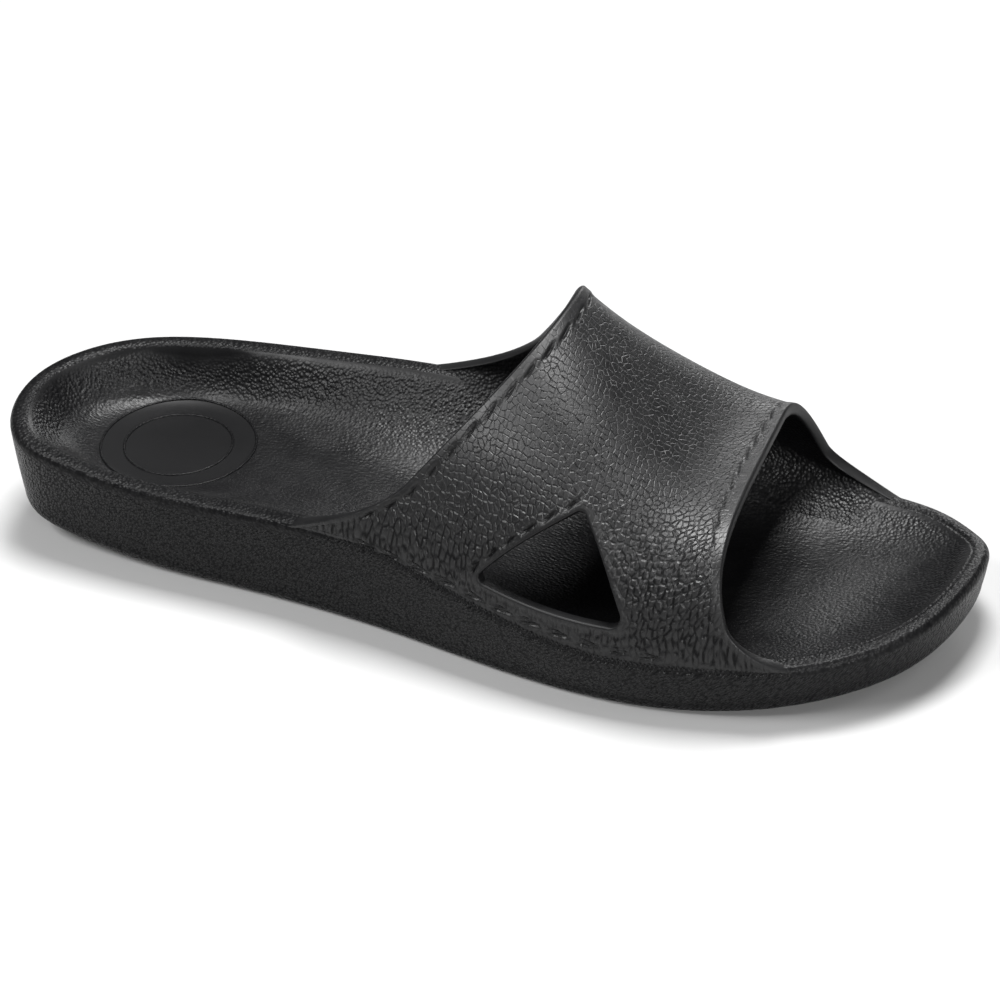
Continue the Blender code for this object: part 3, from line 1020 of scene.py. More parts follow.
@dataclass
class UpperSkin:
    """The outside of the upper as a fine table, read by share and across.

    share runs from the rear edge (0) to the front edge (1), and across from the lateral
    foot (0) over the ridge (0.5) to the medial foot (1).
    """

    last: Last
    arches: Sequence[Arch] = ARCHES
    foot_inset: float = 0.8
    tail_height: float = 0.36
    tail_reach: float = 9.0
    foot_height: float = 0.35
    edge_sink: float = 2.2
    edge_fade: int = 4
    rows: int = 281
    half: int = 300
    fine: int = 600
    find_stride: int = 4
    find_step: float = 1e-3
    find_passes: int = 8

    def __post_init__(self) -> None:
        """Fill the table and measure it."""
        shares = [arch.share for arch in self.arches]
        names = [name for name in Arch.__dataclass_fields__ if name != "share"]
        self.curves = {
            name: Spline(shares, [getattr(arch, name) for arch in self.arches]) for name in names
        }
        lines = []
        for share in np.linspace(0, 1, self.rows):
            medial = self.half_arch(share, Side.MEDIAL)
            lines.append(np.concatenate([self.half_arch(share, Side.LATERAL), medial[-2::-1]]))
        self.points = np.array(lines)
        along = np.gradient(self.points, axis=0)
        self.normals = unit(np.cross(along, np.gradient(self.points, axis=1)))
        self.normals *= np.sign(self.normals[self.rows // 2, self.half, 2])
        self.rear = run_length(self.points, 0)
        self.front = self.rear[-1] - self.rear
        self.lateral = run_length(self.points, 1)
        self.medial = self.lateral[:, -1:] - self.lateral
        self.steady()

    def steady(self) -> None:
        """Turn the normals outwards where the tails of the upper run out along the rim."""
        share = np.linspace(0, 1, self.rows)
        tail = np.maximum((1 - share) ** self.edge_fade, share**self.edge_fade)[:, None]
        low = np.clip(1 - np.minimum(self.lateral, self.medial) / self.tail_reach, 0, 1)
        outwards = np.zeros_like(self.points)
        outwards[:, : self.half, 1] = Side.LATERAL.value
        outwards[:, self.half :, 1] = Side.MEDIAL.value
        turned = np.clip(2 * tail * low, 0, 1)[..., None]
        self.normals = unit(self.normals * (1 - turned) + outwards * turned)

    def half_arch(self, share: float, side: Side) -> Array:
        """Trace one side of an arch.

        Args:
            share: which arch, from rear to front.
            side: which side of it.

        Returns:
            Points at even steps from foot to ridge.
        """
        climb = (1 - np.cos(np.linspace(0, math.pi, self.fine + 1))) / 2
        length = run_length(self.trace(share, climb, side))
        even = np.linspace(0, length[-1], self.half + 1)
        return self.trace(share, np.interp(even, length, climb), side)

    def trace(self, share: float, climb: Array, side: Side) -> Array:
        """Work out points on one side of an arch.

        Args:
            share: which arch, from rear to front.
            climb: from the foot on the rim (0) to the ridge (1).
            side: which side of it.

        Returns:
            The points.
        """
        label = side.name.lower()
        at = {name: float(curve(share)) for name, curve in self.curves.items()}
        power = 2 / at[label + "_round"]
        spread = np.cos(climb * math.pi / 2) ** power
        rise = np.sin(climb * math.pi / 2) ** power
        foot_x = at[label + "_foot"]
        x = foot_x + (at["ridge_x"] - foot_x) * rise ** at[label + "_sweep"]
        low = np.clip(1 - rise / self.tail_height, 0, 1) ** 2
        rear, front = (1 - share) ** self.edge_fade, share**self.edge_fade
        tails = [getattr(self.arches[i], label + "_tail") for i in (0, -1)]
        x = x + (rear * tails[0] + front * tails[1]) * low
        follow = np.clip(1 - rise / self.foot_height, 0, 1) ** 2
        foot_y, foot_z = self.on_rim(np.array(foot_x), side)
        trail_y, trail_z = self.on_rim(x, side)
        y = at["ridge_y"] + (foot_y - at["ridge_y"]) * spread + follow * (trail_y - foot_y)
        z = foot_z + (at["ridge_z"] - foot_z) * rise + follow * (trail_z - foot_z)
        return np.stack([x, y, z - (rear + front) * self.edge_sink * low], -1)

    def on_rim(self, along: Array, side: Side) -> tuple[Array, Array]:
        """Find where the upper stands on the rim.

        Args:
            along: the place along the foot.
            side: which side.

        Returns:
            Its y and its height.
        """
        turn = self.last.turn_of(along)
        turn = LAP - turn if side is Side.MEDIAL else turn
        return self.last.outline_y(turn) - side.value * self.foot_inset, self.last.rim(turn)

    def read(self, table: Array, share: Array, across: Array) -> Array:
        """Read a table of the skin between its points.

        Args:
            table: the skin's points, normals or one of its measures.
            share: from the rear edge to the front edge.
            across: from the lateral to the medial foot.

        Returns:
            The table's values there.
        """
        row = np.clip(share, 0, 1) * (table.shape[0] - 1)
        column = np.clip(across, 0, 1) * (table.shape[1] - 1)
        i = np.minimum(row.astype(int), table.shape[0] - 2)
        j = np.minimum(column.astype(int), table.shape[1] - 2)
        down, right = row - i, column - j
        if table.ndim == 3:
            down, right = down[..., None], right[..., None]
        upper = table[i, j] * (1 - right) + table[i, j + 1] * right
        lower = table[i + 1, j] * (1 - right) + table[i + 1, j + 1] * right
        return upper * (1 - down) + lower * down

    def find(self, spots: Array) -> tuple[Array, Array]:
        """Find where lines across the foot meet the lateral side.

        Args:
            spots: places along the foot and heights.

        Returns:
            The share and across of each.
        """
        stride, step = self.find_stride, self.find_step
        thin = self.points[::stride, : self.half : stride][..., [0, 2]].reshape(-1, 2)
        gaps = ((spots[:, None, :] - thin[None]) ** 2).sum(-1)
        width = len(range(0, self.half, stride))
        nearest = gaps.argmin(axis=1)
        share = nearest // width * stride / (self.rows - 1)
        across = nearest % width * stride / (2 * self.half)
        for _ in range(self.find_passes):
            here = self.read(self.points, share, across)[:, [0, 2]]
            by_share = (self.read(self.points, share + step, across)[:, [0, 2]] - here) / step
            by_across = (self.read(self.points, share, across + step)[:, [0, 2]] - here) / step
            miss = spots - here
            turned = by_share[:, 0] * by_across[:, 1] - by_share[:, 1] * by_across[:, 0]
            share = share + (miss[:, 0] * by_across[:, 1] - miss[:, 1] * by_across[:, 0]) / turned
            across = across + (by_share[:, 0] * miss[:, 1] - by_share[:, 1] * miss[:, 0]) / turned
        return share, across


@dataclass(frozen=True)
class Corner:
    """A corner of the side opening: its place, radius and the bow of its next side."""

    along: float
    height: float
    radius: float
    bow: float


@dataclass
class Opening:
    """The three-cornered opening in the lateral side, as an outline along and in height."""

    corners: Sequence[Corner] = (
        Corner(152.8, 32.2, 1.8, 1.2),
        Corner(199.8, 28.0, 3.5, 0.8),
        Corner(182.6, 56.5, 2.2, 1.4),
    )
    arc_steps: int = 40
    side_steps: int = 120

    def __post_init__(self) -> None:
        """Draw the outline and its outward directions."""
        spots = np.array([(corner.along, corner.height) for corner in self.corners])
        self.spots = spots
        count = len(spots)
        arcs = [
            self.arc(spots[i - 1], spots[i], spots[(i + 1) % count], self.corners[i].radius)
            for i in range(count)
        ]
        line = []
        for i in range(count):
            start, end = arcs[i][-1], arcs[(i + 1) % count][0]
            run = unit(end - start)
            share = np.linspace(0, 1, self.side_steps + 1)[1:-1, None]
            bow = self.corners[i].bow * 4 * share * (1 - share)
            line += [arcs[i], start + (end - start) * share + np.array([run[1], -run[0]]) * bow]
        self.line = np.concatenate(line)
        run = np.roll(self.line, -2, axis=0) - np.roll(self.line, 2, axis=0)
        self.outwards = unit(np.stack([run[:, 1], -run[:, 0]], -1))
        self.middle = spots.mean(axis=0)

    def arc(self, before: Array, here: Array, after: Array, radius: float) -> Array:
        """Round one corner.

        Args:
            before: the corner before.
            here: the corner itself.
            after: the corner after.
            radius: its radius.

        Returns:
            Points on the arc.
        """
        to_before, to_after = unit(before - here), unit(after - here)
        half = math.acos(float(to_before @ to_after)) / 2
        centre = here + unit(to_before + to_after) * radius / math.sin(half)
        spoke = here + to_before * radius / math.tan(half) - centre
        turns = np.linspace(0, math.pi - 2 * half, self.arc_steps + 1)
        return centre + np.stack(
            [
                spoke[0] * np.cos(turns) - spoke[1] * np.sin(turns),
                spoke[0] * np.sin(turns) + spoke[1] * np.cos(turns),
            ],
            -1,
        )

    def angle(self, spots: Array) -> Array:
        """Return the angles of spots round the opening's middle, from 0 to a full turn."""
        away = spots - self.middle
        return np.mod(np.arctan2(away[..., 1], away[..., 0]), LAP)

    def outline(self, offset: float, angles: Array) -> Array:
        """Read the outline, moved out by an offset.

        Args:
            offset: how far outside the opening's edge.
            angles: the angles round the middle to read it at.

        Returns:
            Places along the foot and heights.
        """
        spots = self.line + self.outwards * offset
        turns = self.angle(spots)
        order = np.argsort(turns)
        return np.stack(
            [np.interp(angles, turns[order], spots[order, k], period=LAP) for k in (0, 1)], -1
        )


@dataclass
class StitchRow:
    """A row of moulded stitches: raised strands of thread that lie in small pits."""

    length: float = 4.6
    width: float = 0.65
    height: float = 0.6
    proud: float = -0.7
    slant: float = 10.0
    plies: int = 3
    ply_depth: float = 0.16
    pit_depth: float = 1.4
    pit_width: float = 0.36
    pit_offset: float = 0.15
    pit_reach: float = 0.56
    twist: float = 2.2
    tip_round: float = 0.45
    tip_least: float = 0.02
    tip_dip: float = 0.35
    glance: float = 0.5
    paired: bool = False
    length_steps: int = 12
    round_steps: int = 10
    frames: list[tuple[Array, Array, Array]] = field(default_factory=list)

    def lay(self, line: Array, normals: Array, pitch: float, ends: tuple[float, float]) -> None:
        """Set stitches along a line on the skin.

        Args:
            line: points on the skin.
            normals: the skin's normals there.
            pitch: from stitch to stitch.
            ends: how far from the line's two ends the row starts and stops.
        """
        reached = run_length(line)
        span = reached[-1] - sum(ends)
        count = max(1, int(span / pitch))
        spots = ends[0] + (np.arange(count) + 0.5) * span / count
        middles = between(spots, reached, line)
        ahead = between(spots + self.glance, reached, line)
        ups = unit(between(spots, reached, normals))
        turn = math.radians(self.slant)
        for middle, run, up in zip(middles, ahead - middles, ups):
            along = unit(run - up * (run @ up))
            across = np.cross(up, along)
            for sign in (1, -1) if self.paired else (1,):
                slanted = along * math.cos(turn) + across * sign * math.sin(turn)
                shift = sign * math.sin(turn) * self.length / 2 if self.paired else 0.0
                self.frames.append((middle - across * shift, slanted, up))

    def pits(self, points: Array) -> Array:
        """Work out how deep the pits are.

        Args:
            points: points on the skin.

        Returns:
            The depth at each point, in mm.
        """
        depth = np.zeros(len(points))
        for middle, along, up in self.frames:
            away = points - middle
            near = np.flatnonzero((away**2).sum(-1) < self.length**2)
            run = away[near] @ along
            off = away[near] @ np.cross(up, along) - self.pit_offset
            along_pit = (run / (self.pit_reach * self.length)) ** 4
            pit = np.exp(-along_pit - (off / self.pit_width) ** 2)
            depth[near] = np.maximum(depth[near], self.pit_depth * pit)
        return depth

    def strands(self) -> tuple[Array, Array]:
        """Make the strands.

        Returns:
            Their points and faces, all stitches joined.
        """
        run = np.linspace(-1, 1, self.length_steps + 1)
        swell = np.maximum(1 - run**2, 0.0) ** self.tip_round + self.tip_least
        around = np.linspace(0, LAP, self.round_steps, endpoint=False)
        strand = self.plies * (around[None] + self.twist * run[:, None])
        ply = 1 + self.ply_depth * np.cos(strand)
        radius = swell[:, None] * ply
        side = radius * np.cos(around) * self.width / 2
        lift = radius * np.sin(around) * self.height / 2 + self.proud - self.height / 2
        lift = lift - self.tip_dip * run[:, None] ** 4
        along = np.broadcast_to(run[:, None] * self.length / 2, side.shape)
        points = []
        for middle, ahead, up in self.frames:
            across = np.cross(up, ahead)
            shape = along[..., None] * ahead + side[..., None] * across + lift[..., None] * up
            points.append((middle + shape).reshape(-1, 3))
        skin = tube_faces(*side.shape, closed=False)
        faces = [skin + k * side.size for k in range(len(self.frames))]
        return np.concatenate(points), np.concatenate(faces)


@dataclass(frozen=True)
class Seam:
    """A run of stitches: its kind, its distance from an edge, its pitch and its two ends."""

    kind: Stitch
    gap: float
    pitch: float
    ends: tuple[float, float]


@dataclass
class Upper:
    """The upper: a wall of even thickness over the instep, open at collar, toe and side."""

    skin: UpperSkin
    opening: Opening
    sole: bpy.types.Object
    wall: float = 3.2
    edge_bulge: float = 0.35
    edge_steps: int = 6
    row_mm: tuple[float, float, float] = (0.4, 0.66, 90.0)
    column_mm: tuple[float, float, float] = (0.4, 0.66, 92.0)
    fine_mm: float = 9.0
    root_depth: float = 6.0
    root_inset: float = 2.0
    coves_mm: tuple[float, float] = (5.0, 11.0)
    cove_fade: float = 0.06
    cove_climb: float = 24.0
    cove_climb_steps: int = 97
    cove_shares: int = 161
    cove_fine: int = 400
    cove_touch: float = 0.05
    hole_round: float = 0.6
    hole_rings: tuple[float, ...] = (0.4, 0.8, 1.2, 1.6, 2.0, 2.5, 3.0, 3.6, 4.2)
    hole_margin: float = 5.2
    hole_round_steps: int = 5
    window_turns: int = 361
    blend_rings: int = 3
    hem_rear: tuple[float, float, float] = (2.6, 4.2, 0.4)
    hem_front: tuple[float, float, float] = (3.4, 4.6, 0.25)
    hem_hole: tuple[float, float, float] = (1.6, 2.8, 0.25)
    hem_foot: tuple[float, float, float] = (3.4, 5.0, 0.2)
    upright: tuple[float, float, float] = (0.62, 10.0, 40.0)
    folds_mm: tuple[float, float] = (12.0, 62.0)
    foot_grain: tuple[float, float, float] = (0.4, 3.0, 6.5)
    edge_grain: tuple[float, float, float] = (0.3, 1.0, 5.5)
    collar_seam: Seam = Seam(Stitch.SLIT, 3.3, 7.4, (18.0, 18.0))
    toe_seam: Seam = Seam(Stitch.FAINT, 3.6, 6.8, (12.0, 12.0))
    foot_seam: Seam = Seam(Stitch.LEAF, 2.9, 8.0, (14.0, 26.0))
    hole_rear_seam: Seam = Seam(Stitch.SLIT, 2.3, 6.2, (0.5, 0.5))
    hole_front_seam: Seam = Seam(Stitch.FAINT, 2.3, 6.2, (0.5, 0.5))
    edge_seam_run: tuple[float, float, int] = (0.02, 0.98, 500)
    foot_seam_run: tuple[float, float, int] = (0.03, 0.97, 400)
    hole_seam_steps: int = 240

    def spread(self, sizes: tuple[float, float, float], both: bool) -> Array:
        """Divide a length finely at one or both of its ends.

        Args:
            sizes: the fine step, the plain step and the whole length.
            both: whether the far end is fine too.

        Returns:
            Shares from 0 to 1.
        """
        fine, plain, whole = sizes
        start = np.arange(0, self.fine_mm, fine)
        stop = whole - self.fine_mm if both else whole
        middle = np.linspace(self.fine_mm, stop, int((stop - self.fine_mm) / plain) + 1)
        end = whole - start[::-1] if both else middle[:0]
        return np.concatenate([start, middle, end]) / whole

    def cove_table(self) -> dict[Side, dict[str, Array]]:
        """Find the hollow that rounds the lining into the footbed.

        Returns:
            For each side, over the shares: how high the hollow reaches up the wall, and
            its top, corner and tip.
        """
        tree = BVHTree.FromObject(self.sole, bpy.context.evaluated_depsgraph_get())
        shares = np.linspace(0, 1, self.cove_shares)
        climb = np.linspace(0, self.cove_climb, self.cove_climb_steps)
        fine = np.linspace(0, 0.5, self.cove_fine)
        tables = {}
        for side in Side:
            rows: dict[str, list[Any]] = {"reach": [], "top": [], "corner": [], "tip": []}
            lengths = self.skin.lateral if side is Side.LATERAL else self.skin.medial
            cove = self.coves_mm[0] if side is Side.LATERAL else self.coves_mm[1]
            for share in shares:
                across = fine if side is Side.LATERAL else 1 - fine
                ups = self.skin.read(lengths, np.full_like(across, share), across)
                there = np.interp(np.concatenate([climb, climb[-1:] + cove]), ups, across)
                at = np.full_like(there, share)
                normals = self.skin.read(self.skin.normals, at, there)
                line = self.skin.read(self.skin.points, at, there) - unit(normals) * self.wall
                heights = np.array([drop(tree, point) for point in line])
                above = np.flatnonzero(line[:, 2] >= heights - self.cove_touch)
                k = int(above[0]) if len(above) else len(climb) - 1
                inward = -unit(normals[k, :2])
                tip = line[k].copy()
                tip[:2] += inward * cove
                tip[2] = drop(tree, tip)
                top = min(climb[min(k, len(climb) - 1)] + cove, climb[-1])
                rows["reach"].append(top)
                rows["top"].append(between(top, climb, line[: len(climb)]))
                rows["corner"].append(line[k])
                rows["tip"].append(tip)
            tables[side] = {name: np.array(values) for name, values in rows.items()}
            tables[side]["share"] = shares
        return tables

    def lining(self, points: Array, normals: Array, share: Array, across: Array) -> Array:
        """Work out the inside of the wall, with its hollow at the footbed.

        Args:
            points: the skin's plain points.
            normals: its normals.
            share: their place from rear to front.
            across: their place from lateral to medial foot.

        Returns:
            The lining's points.
        """
        inside = points - normals * self.wall
        for side, table in self.coves.items():
            lengths = self.skin.lateral if side is Side.LATERAL else self.skin.medial
            up = self.skin.read(lengths, share, across)
            reach = np.interp(share, table["share"], table["reach"])
            t = np.clip(1 - up / reach, 0, 1)[..., None]
            top, corner, tip = (
                between(share, table["share"], table[name])
                for name in ("top", "corner", "tip")
            )
            hollow = (1 - t) ** 2 * top + 2 * t * (1 - t) * corner + t**2 * tip
            rear, front = (smoothstep(0.0, self.cove_fade, end) for end in (share, 1 - share))
            ends = rear * front
            inside = np.where(t > 0, inside + (hollow - inside) * ends[..., None], inside)
        return inside

    def hole_distance(self, points: Array) -> Array:
        """Measure how far points on the lateral side lie outside the opening's edge.

        Args:
            points: points on the skin.

        Returns:
            The distance in mm, and a far one on the medial side.
        """
        spots = points[..., [0, 2]]
        edge = self.opening.outline(0.0, self.opening.angle(spots))
        middle = self.opening.middle
        gap = np.linalg.norm(spots - middle, axis=-1) - np.linalg.norm(edge - middle, axis=-1)
        return np.where(points[..., 1] < 0, gap, FAR)

    def relief(self, points: Array, share: Array, across: Array) -> Array:
        """Work out how far the moulded hems stand out, less the pits of the stitches.

        Args:
            points: the skin's plain points.
            share: their place from rear to front.
            across: their place from lateral to medial foot.

        Returns:
            The height at each point, in mm.
        """
        rear = self.skin.read(self.skin.rear, share, across)
        front = self.skin.read(self.skin.front, share, across)
        lateral = self.skin.read(self.skin.lateral, share, across)
        medial = self.skin.read(self.skin.medial, share, across)
        height = np.zeros(share.shape)
        for gap, hem in (
            (rear, self.hem_rear),
            (front, self.hem_front),
            (np.minimum(lateral, medial), self.hem_foot),
            (self.hole_distance(points), self.hem_hole),
        ):
            height = np.maximum(height, hem[2] * (1 - smoothstep(hem[0], hem[1], gap)))
        spots = points.reshape(-1, 3)
        pits = np.max([row.pits(spots) for row in self.kinds.values()], axis=0)
        return height - pits.reshape(share.shape)

    def sew(self) -> None:
        """Set the rows of stitches: both edges, both feet and round the opening."""
        skin = self.skin
        self.kinds = {
            Stitch.SLIT: StitchRow(),
            Stitch.FAINT: StitchRow(length=3.4, proud=-0.12, pit_depth=0.35, pit_width=0.5),
            Stitch.LEAF: StitchRow(
                length=5.6,
                width=0.5,
                height=0.5,
                proud=-0.2,
                slant=9.0,
                pit_depth=0.9,
                pit_width=0.36,
                pit_offset=0.12,
                paired=True,
            ),
        }
        shares = np.linspace(0, 1, skin.rows)
        sides = np.linspace(0, 1, 2 * skin.half + 1)
        across = np.linspace(*self.edge_seam_run)
        for table, seam in ((skin.rear, self.collar_seam), (skin.front, self.toe_seam)):
            columns = np.array([np.interp(across, sides, row) for row in table]).T
            rise = 1 if columns[0, -1] > columns[0, 0] else -1
            share = np.array([np.interp(seam.gap, line[::rise], shares[::rise]) for line in columns])
            self.row(seam, share, across)
        share = np.linspace(*self.foot_seam_run)
        seam = self.foot_seam
        for table, rise in ((skin.lateral, 1), (skin.medial, -1)):
            rows = np.array([np.interp(share, shares, column) for column in table.T]).T
            there = np.array([np.interp(seam.gap, line[::rise], sides[::rise]) for line in rows])
            self.row(seam, share, there)
        corners = self.opening.angle(self.opening.spots)
        for first, last, seam in (
            (corners[2], corners[0], self.hole_rear_seam),
            (corners[1] - LAP, corners[2], self.hole_front_seam),
        ):
            angles = np.mod(np.linspace(first, last, self.hole_seam_steps), LAP)
            self.row(seam, *skin.find(self.opening.outline(seam.gap, angles)))

    def row(self, seam: Seam, share: Array, across: Array) -> None:
        """Set one row of stitches.

        Args:
            seam: its kind, pitch and ends.
            share: its line from rear to front.
            across: its line from lateral to medial foot.
        """
        line = self.skin.read(self.skin.points, share, across)
        normals = unit(self.skin.read(self.skin.normals, share, across))
        self.kinds[seam.kind].lay(line, normals, seam.pitch, seam.ends)

    def shell(self, share: Array, across: Array) -> tuple[Array, Array]:
        """Work out both faces of the wall at given places.

        Args:
            share: from rear to front.
            across: from lateral to medial foot.

        Returns:
            The points outside and inside.
        """
        plain = self.skin.read(self.skin.points, share, across)
        normals = unit(self.skin.read(self.skin.normals, share, across))
        height = self.relief(plain, share, across)
        inside = self.lining(plain, normals, share, across)
        return plain + normals * height[..., None], inside

    def build(self) -> list[bpy.types.Object]:
        """Build the upper and its stitches.

        Returns:
            The pieces.
        """
        self.coves = self.cove_table()
        self.sew()
        rows = self.spread(self.row_mm, True)
        half = self.spread(self.column_mm, False) / 2
        columns = np.concatenate([half, 1 - half[-2::-1]])
        share, across = np.meshgrid(rows, columns, indexing="ij")
        outside, inside = self.shell(share, across)
        reach = unit(np.gradient(outside, axis=0))
        turns = np.linspace(0, math.pi, self.edge_steps + 2)[1:-1]
        bulge = self.wall * self.edge_bulge

        def edge(i: int, sign: float) -> list[Array]:
            """Round one edge from the outside to the inside.

            Args:
                i: the row at the edge.
                sign: which way it bulges.

            Returns:
                The rows of points round it.
            """
            return [
                outside[i] * (1 + math.cos(a)) / 2
                + inside[i] * (1 - math.cos(a)) / 2
                + sign * reach[i] * bulge * math.sin(a)
                for a in turns
            ]

        loops = np.concatenate([outside, edge(-1, 1.0), inside[::-1], edge(0, -1.0)[::-1]])
        sink = np.array([0.0, self.root_inset, -self.root_depth])
        lateral_root = loops[:, :1] + sink
        medial_root = loops[:, -1:] + sink * (1, -1, 1)
        loops = np.concatenate([lateral_root, loops, medial_root], axis=1)
        count, width = loops.shape[:2]
        numbers = np.arange(count * width).reshape(count, width)
        ahead = np.roll(numbers, -1, axis=0)
        quads = np.stack([numbers[:, :-1], ahead[:, :-1], ahead[:, 1:], numbers[:, 1:]], -1)
        n = len(rows)
        inner_start = n + self.edge_steps
        slots = np.full(quads.shape[:2], Layer.EDGE.value)
        slots[: n - 1] = Layer.SKIN.value
        slots[inner_start : inner_start + n - 1] = Layer.LINING.value
        keep = np.ones(quads.shape[:2], bool)
        window = self.window(rows, columns)
        i0, i1, j0, j1 = window
        keep[i0:i1, j0 + 1 : j1 + 1] = False
        keep[inner_start + n - 1 - i1 : inner_start + n - 1 - i0, j0 + 1 : j1 + 1] = False
        faces = [list(face) for face in quads[keep]]
        zones = list(slots[keep])
        for j in (0, width - 1):
            outer = numbers[:n, j]
            inner = numbers[inner_start : inner_start + n, j][::-1]
            front = list(numbers[n:inner_start, j])
            rear = list(numbers[inner_start + n :, j])
            caps = [[outer[i], inner[i], inner[i + 1], outer[i + 1]] for i in range(n - 1)]
            caps.append([outer[-1], inner[-1], *front[::-1]])
            caps.append([inner[0], outer[0], *rear[::-1]])
            faces += caps if j == 0 else [face[::-1] for face in caps]
            zones += [Layer.EDGE.value] * len(caps)
        ring_points, ring_faces, ring_zones, ring_share, ring_across = self.hole(
            rows, columns, window, numbers, inner_start, n, count * width
        )
        points = np.concatenate([loops.reshape(-1, 3), ring_points])
        faces += ring_faces
        zones += ring_zones
        used, fresh = renumber(faces, len(points))
        finishes = (LEATHER_GRAIN, SMOOTH, LINING)
        upper = make_piece("upper", points[used], [fresh[face] for face in faces], finishes, zones)
        all_share = np.zeros((count, width))
        all_share[:n, 1:-1] = share
        all_across = np.zeros((count, width))
        all_across[:n, 1:-1] = across
        self.dress(
            upper,
            np.concatenate([all_share.reshape(-1), ring_share])[used],
            np.concatenate([all_across.reshape(-1), ring_across])[used],
        )
        threads = [
            make_piece(kind.value, *row.strands(), (SMOOTH,)) for kind, row in self.kinds.items()
        ]
        return [upper, *threads]

    def window(self, rows: Array, columns: Array) -> tuple[int, int, int, int]:
        """Choose the part of the grid that the opening's rings take the place of.

        Args:
            rows: the grid's shares.
            columns: the grid's places across.

        Returns:
            The first and last row, and the first and last column.
        """
        angles = np.linspace(0, LAP, self.window_turns)
        share, across = self.skin.find(self.opening.outline(self.hole_margin, angles))
        i0 = int(np.searchsorted(rows, share.min())) - 1
        i1 = int(np.searchsorted(rows, share.max())) + 1
        j0 = max(2, int(np.searchsorted(columns, across.min())) - 1)
        j1 = int(np.searchsorted(columns, across.max())) + 1
        return i0, i1, j0, j1

    def hole(
        self,
        rows: Array,
        columns: Array,
        window: tuple[int, int, int, int],
        numbers: Array,
        inner_start: int,
        n: int,
        first: int,
    ) -> tuple[Array, list[list[int]], list[int], Array, Array]:
        """Fill the window with rings round the opening, and line the opening's wall.

        Args:
            rows: the grid's shares.
            columns: the grid's places across.
            window: the part of the grid that is left out.
            numbers: the point numbers of the loops.
            inner_start: the loop where the lining starts.
            n: how many rows the grid has.
            first: the number of the first new point.

        Returns:
            The new points, faces and zones, and the new points' share and across.
        """
        i0, i1, j0, j1 = window
        bottom = [(i, j0) for i in range(i0, i1)]
        right = [(i1, j) for j in range(j0, j1)]
        top = [(i, j1) for i in range(i1, i0, -1)]
        left = [(i0, j) for j in range(j1, j0, -1)]
        border = np.array(bottom + right + top + left)
        share, across = rows[border[:, 0]], columns[border[:, 1]]
        spots = self.skin.read(self.skin.points, share, across)[:, [0, 2]]
        angles = self.opening.angle(spots)
        outer_border = numbers[border[:, 0], border[:, 1] + 1]
        inner_border = numbers[inner_start + n - 1 - border[:, 0], border[:, 1] + 1]
        offsets = [self.hole_round + gap for gap in (0.0, *self.hole_rings)]
        found = [self.skin.find(self.opening.outline(gap, angles)) for gap in offsets]
        lines = found[::-1]
        steps = np.linspace(0, 1, self.blend_rings + 2)[1:-1]
        blends = [
            (share + (lines[0][0] - share) * t, across + (lines[0][1] - across) * t) for t in steps
        ]
        lines = blends + lines
        loops = []
        places = []
        slots = []
        for at in lines:
            loops.append(self.shell(*at)[0])
            places.append(at)
            slots.append(Layer.SKIN.value)
        quarter = np.linspace(0, math.pi / 2, self.hole_round_steps + 1)[1:]
        wall = [
            (self.hole_round * (1 - math.sin(a)), self.hole_round * (1 - math.cos(a)))
            for a in quarter
        ]
        back = [(gap, self.wall - depth) for gap, depth in wall[::-1]]
        for gap, depth in wall + back:
            at = self.skin.find(self.opening.outline(gap, angles))
            outside, inside = self.shell(*at)
            loops.append(outside + (inside - outside) * depth / self.wall)
            places.append(at)
            slots.append(Layer.EDGE.value)
        for at in lines[::-1]:
            loops.append(self.shell(*at)[1])
            places.append(at)
            slots.append(Layer.LINING.value)
        count = len(border)
        points = np.concatenate(loops)
        rings = [outer_border]
        rings += [first + k * count + np.arange(count) for k in range(len(loops))]
        rings.append(inner_border)
        slots.append(Layer.LINING.value)
        faces: list[list[int]] = []
        zones: list[int] = []
        for k in range(len(rings) - 1):
            a, b = rings[k], rings[k + 1]
            quads = np.stack([a, np.roll(a, -1), np.roll(b, -1), b], -1)
            faces += quads.tolist()
            zones += [slots[k]] * count
        return (
            points,
            faces,
            zones,
            np.concatenate([at[0] for at in places]),
            np.concatenate([at[1] for at in places]),
        )

    def unroll(self, foot: Array) -> Array:
        """Lay the skin out flat from its ridge, so that the grain keeps its size.

        Args:
            foot: how far each point of the skin's table is from the nearer foot.

        Returns:
            Millimetres along the shoe and down its sides, these shortened near the feet,
            where the grain is drawn out upright.
        """
        skin = self.skin
        steps = np.diff(skin.points, axis=1)
        normals = unit(skin.normals[:, 1:] + skin.normals[:, :-1])
        forward = np.array([1.0, 0.0, 0.0])
        along = unit(forward - normals * normals[..., :1])
        down = np.cross(normals, along)
        drawn = self.upright[0] + (1 - self.upright[0]) * smoothstep(*self.upright[1:], foot)
        drawn = (drawn[:, 1:] + drawn[:, :-1]) / 2
        moves = np.stack([(steps * along).sum(-1), (steps * down).sum(-1) * drawn], -1)
        chart = np.concatenate([np.zeros((skin.rows, 1, 2)), np.cumsum(moves, axis=1)], axis=1)
        chart -= chart[:, skin.half : skin.half + 1]
        chart[..., 0] += run_length(skin.points[:, skin.half])[:, None]
        return chart

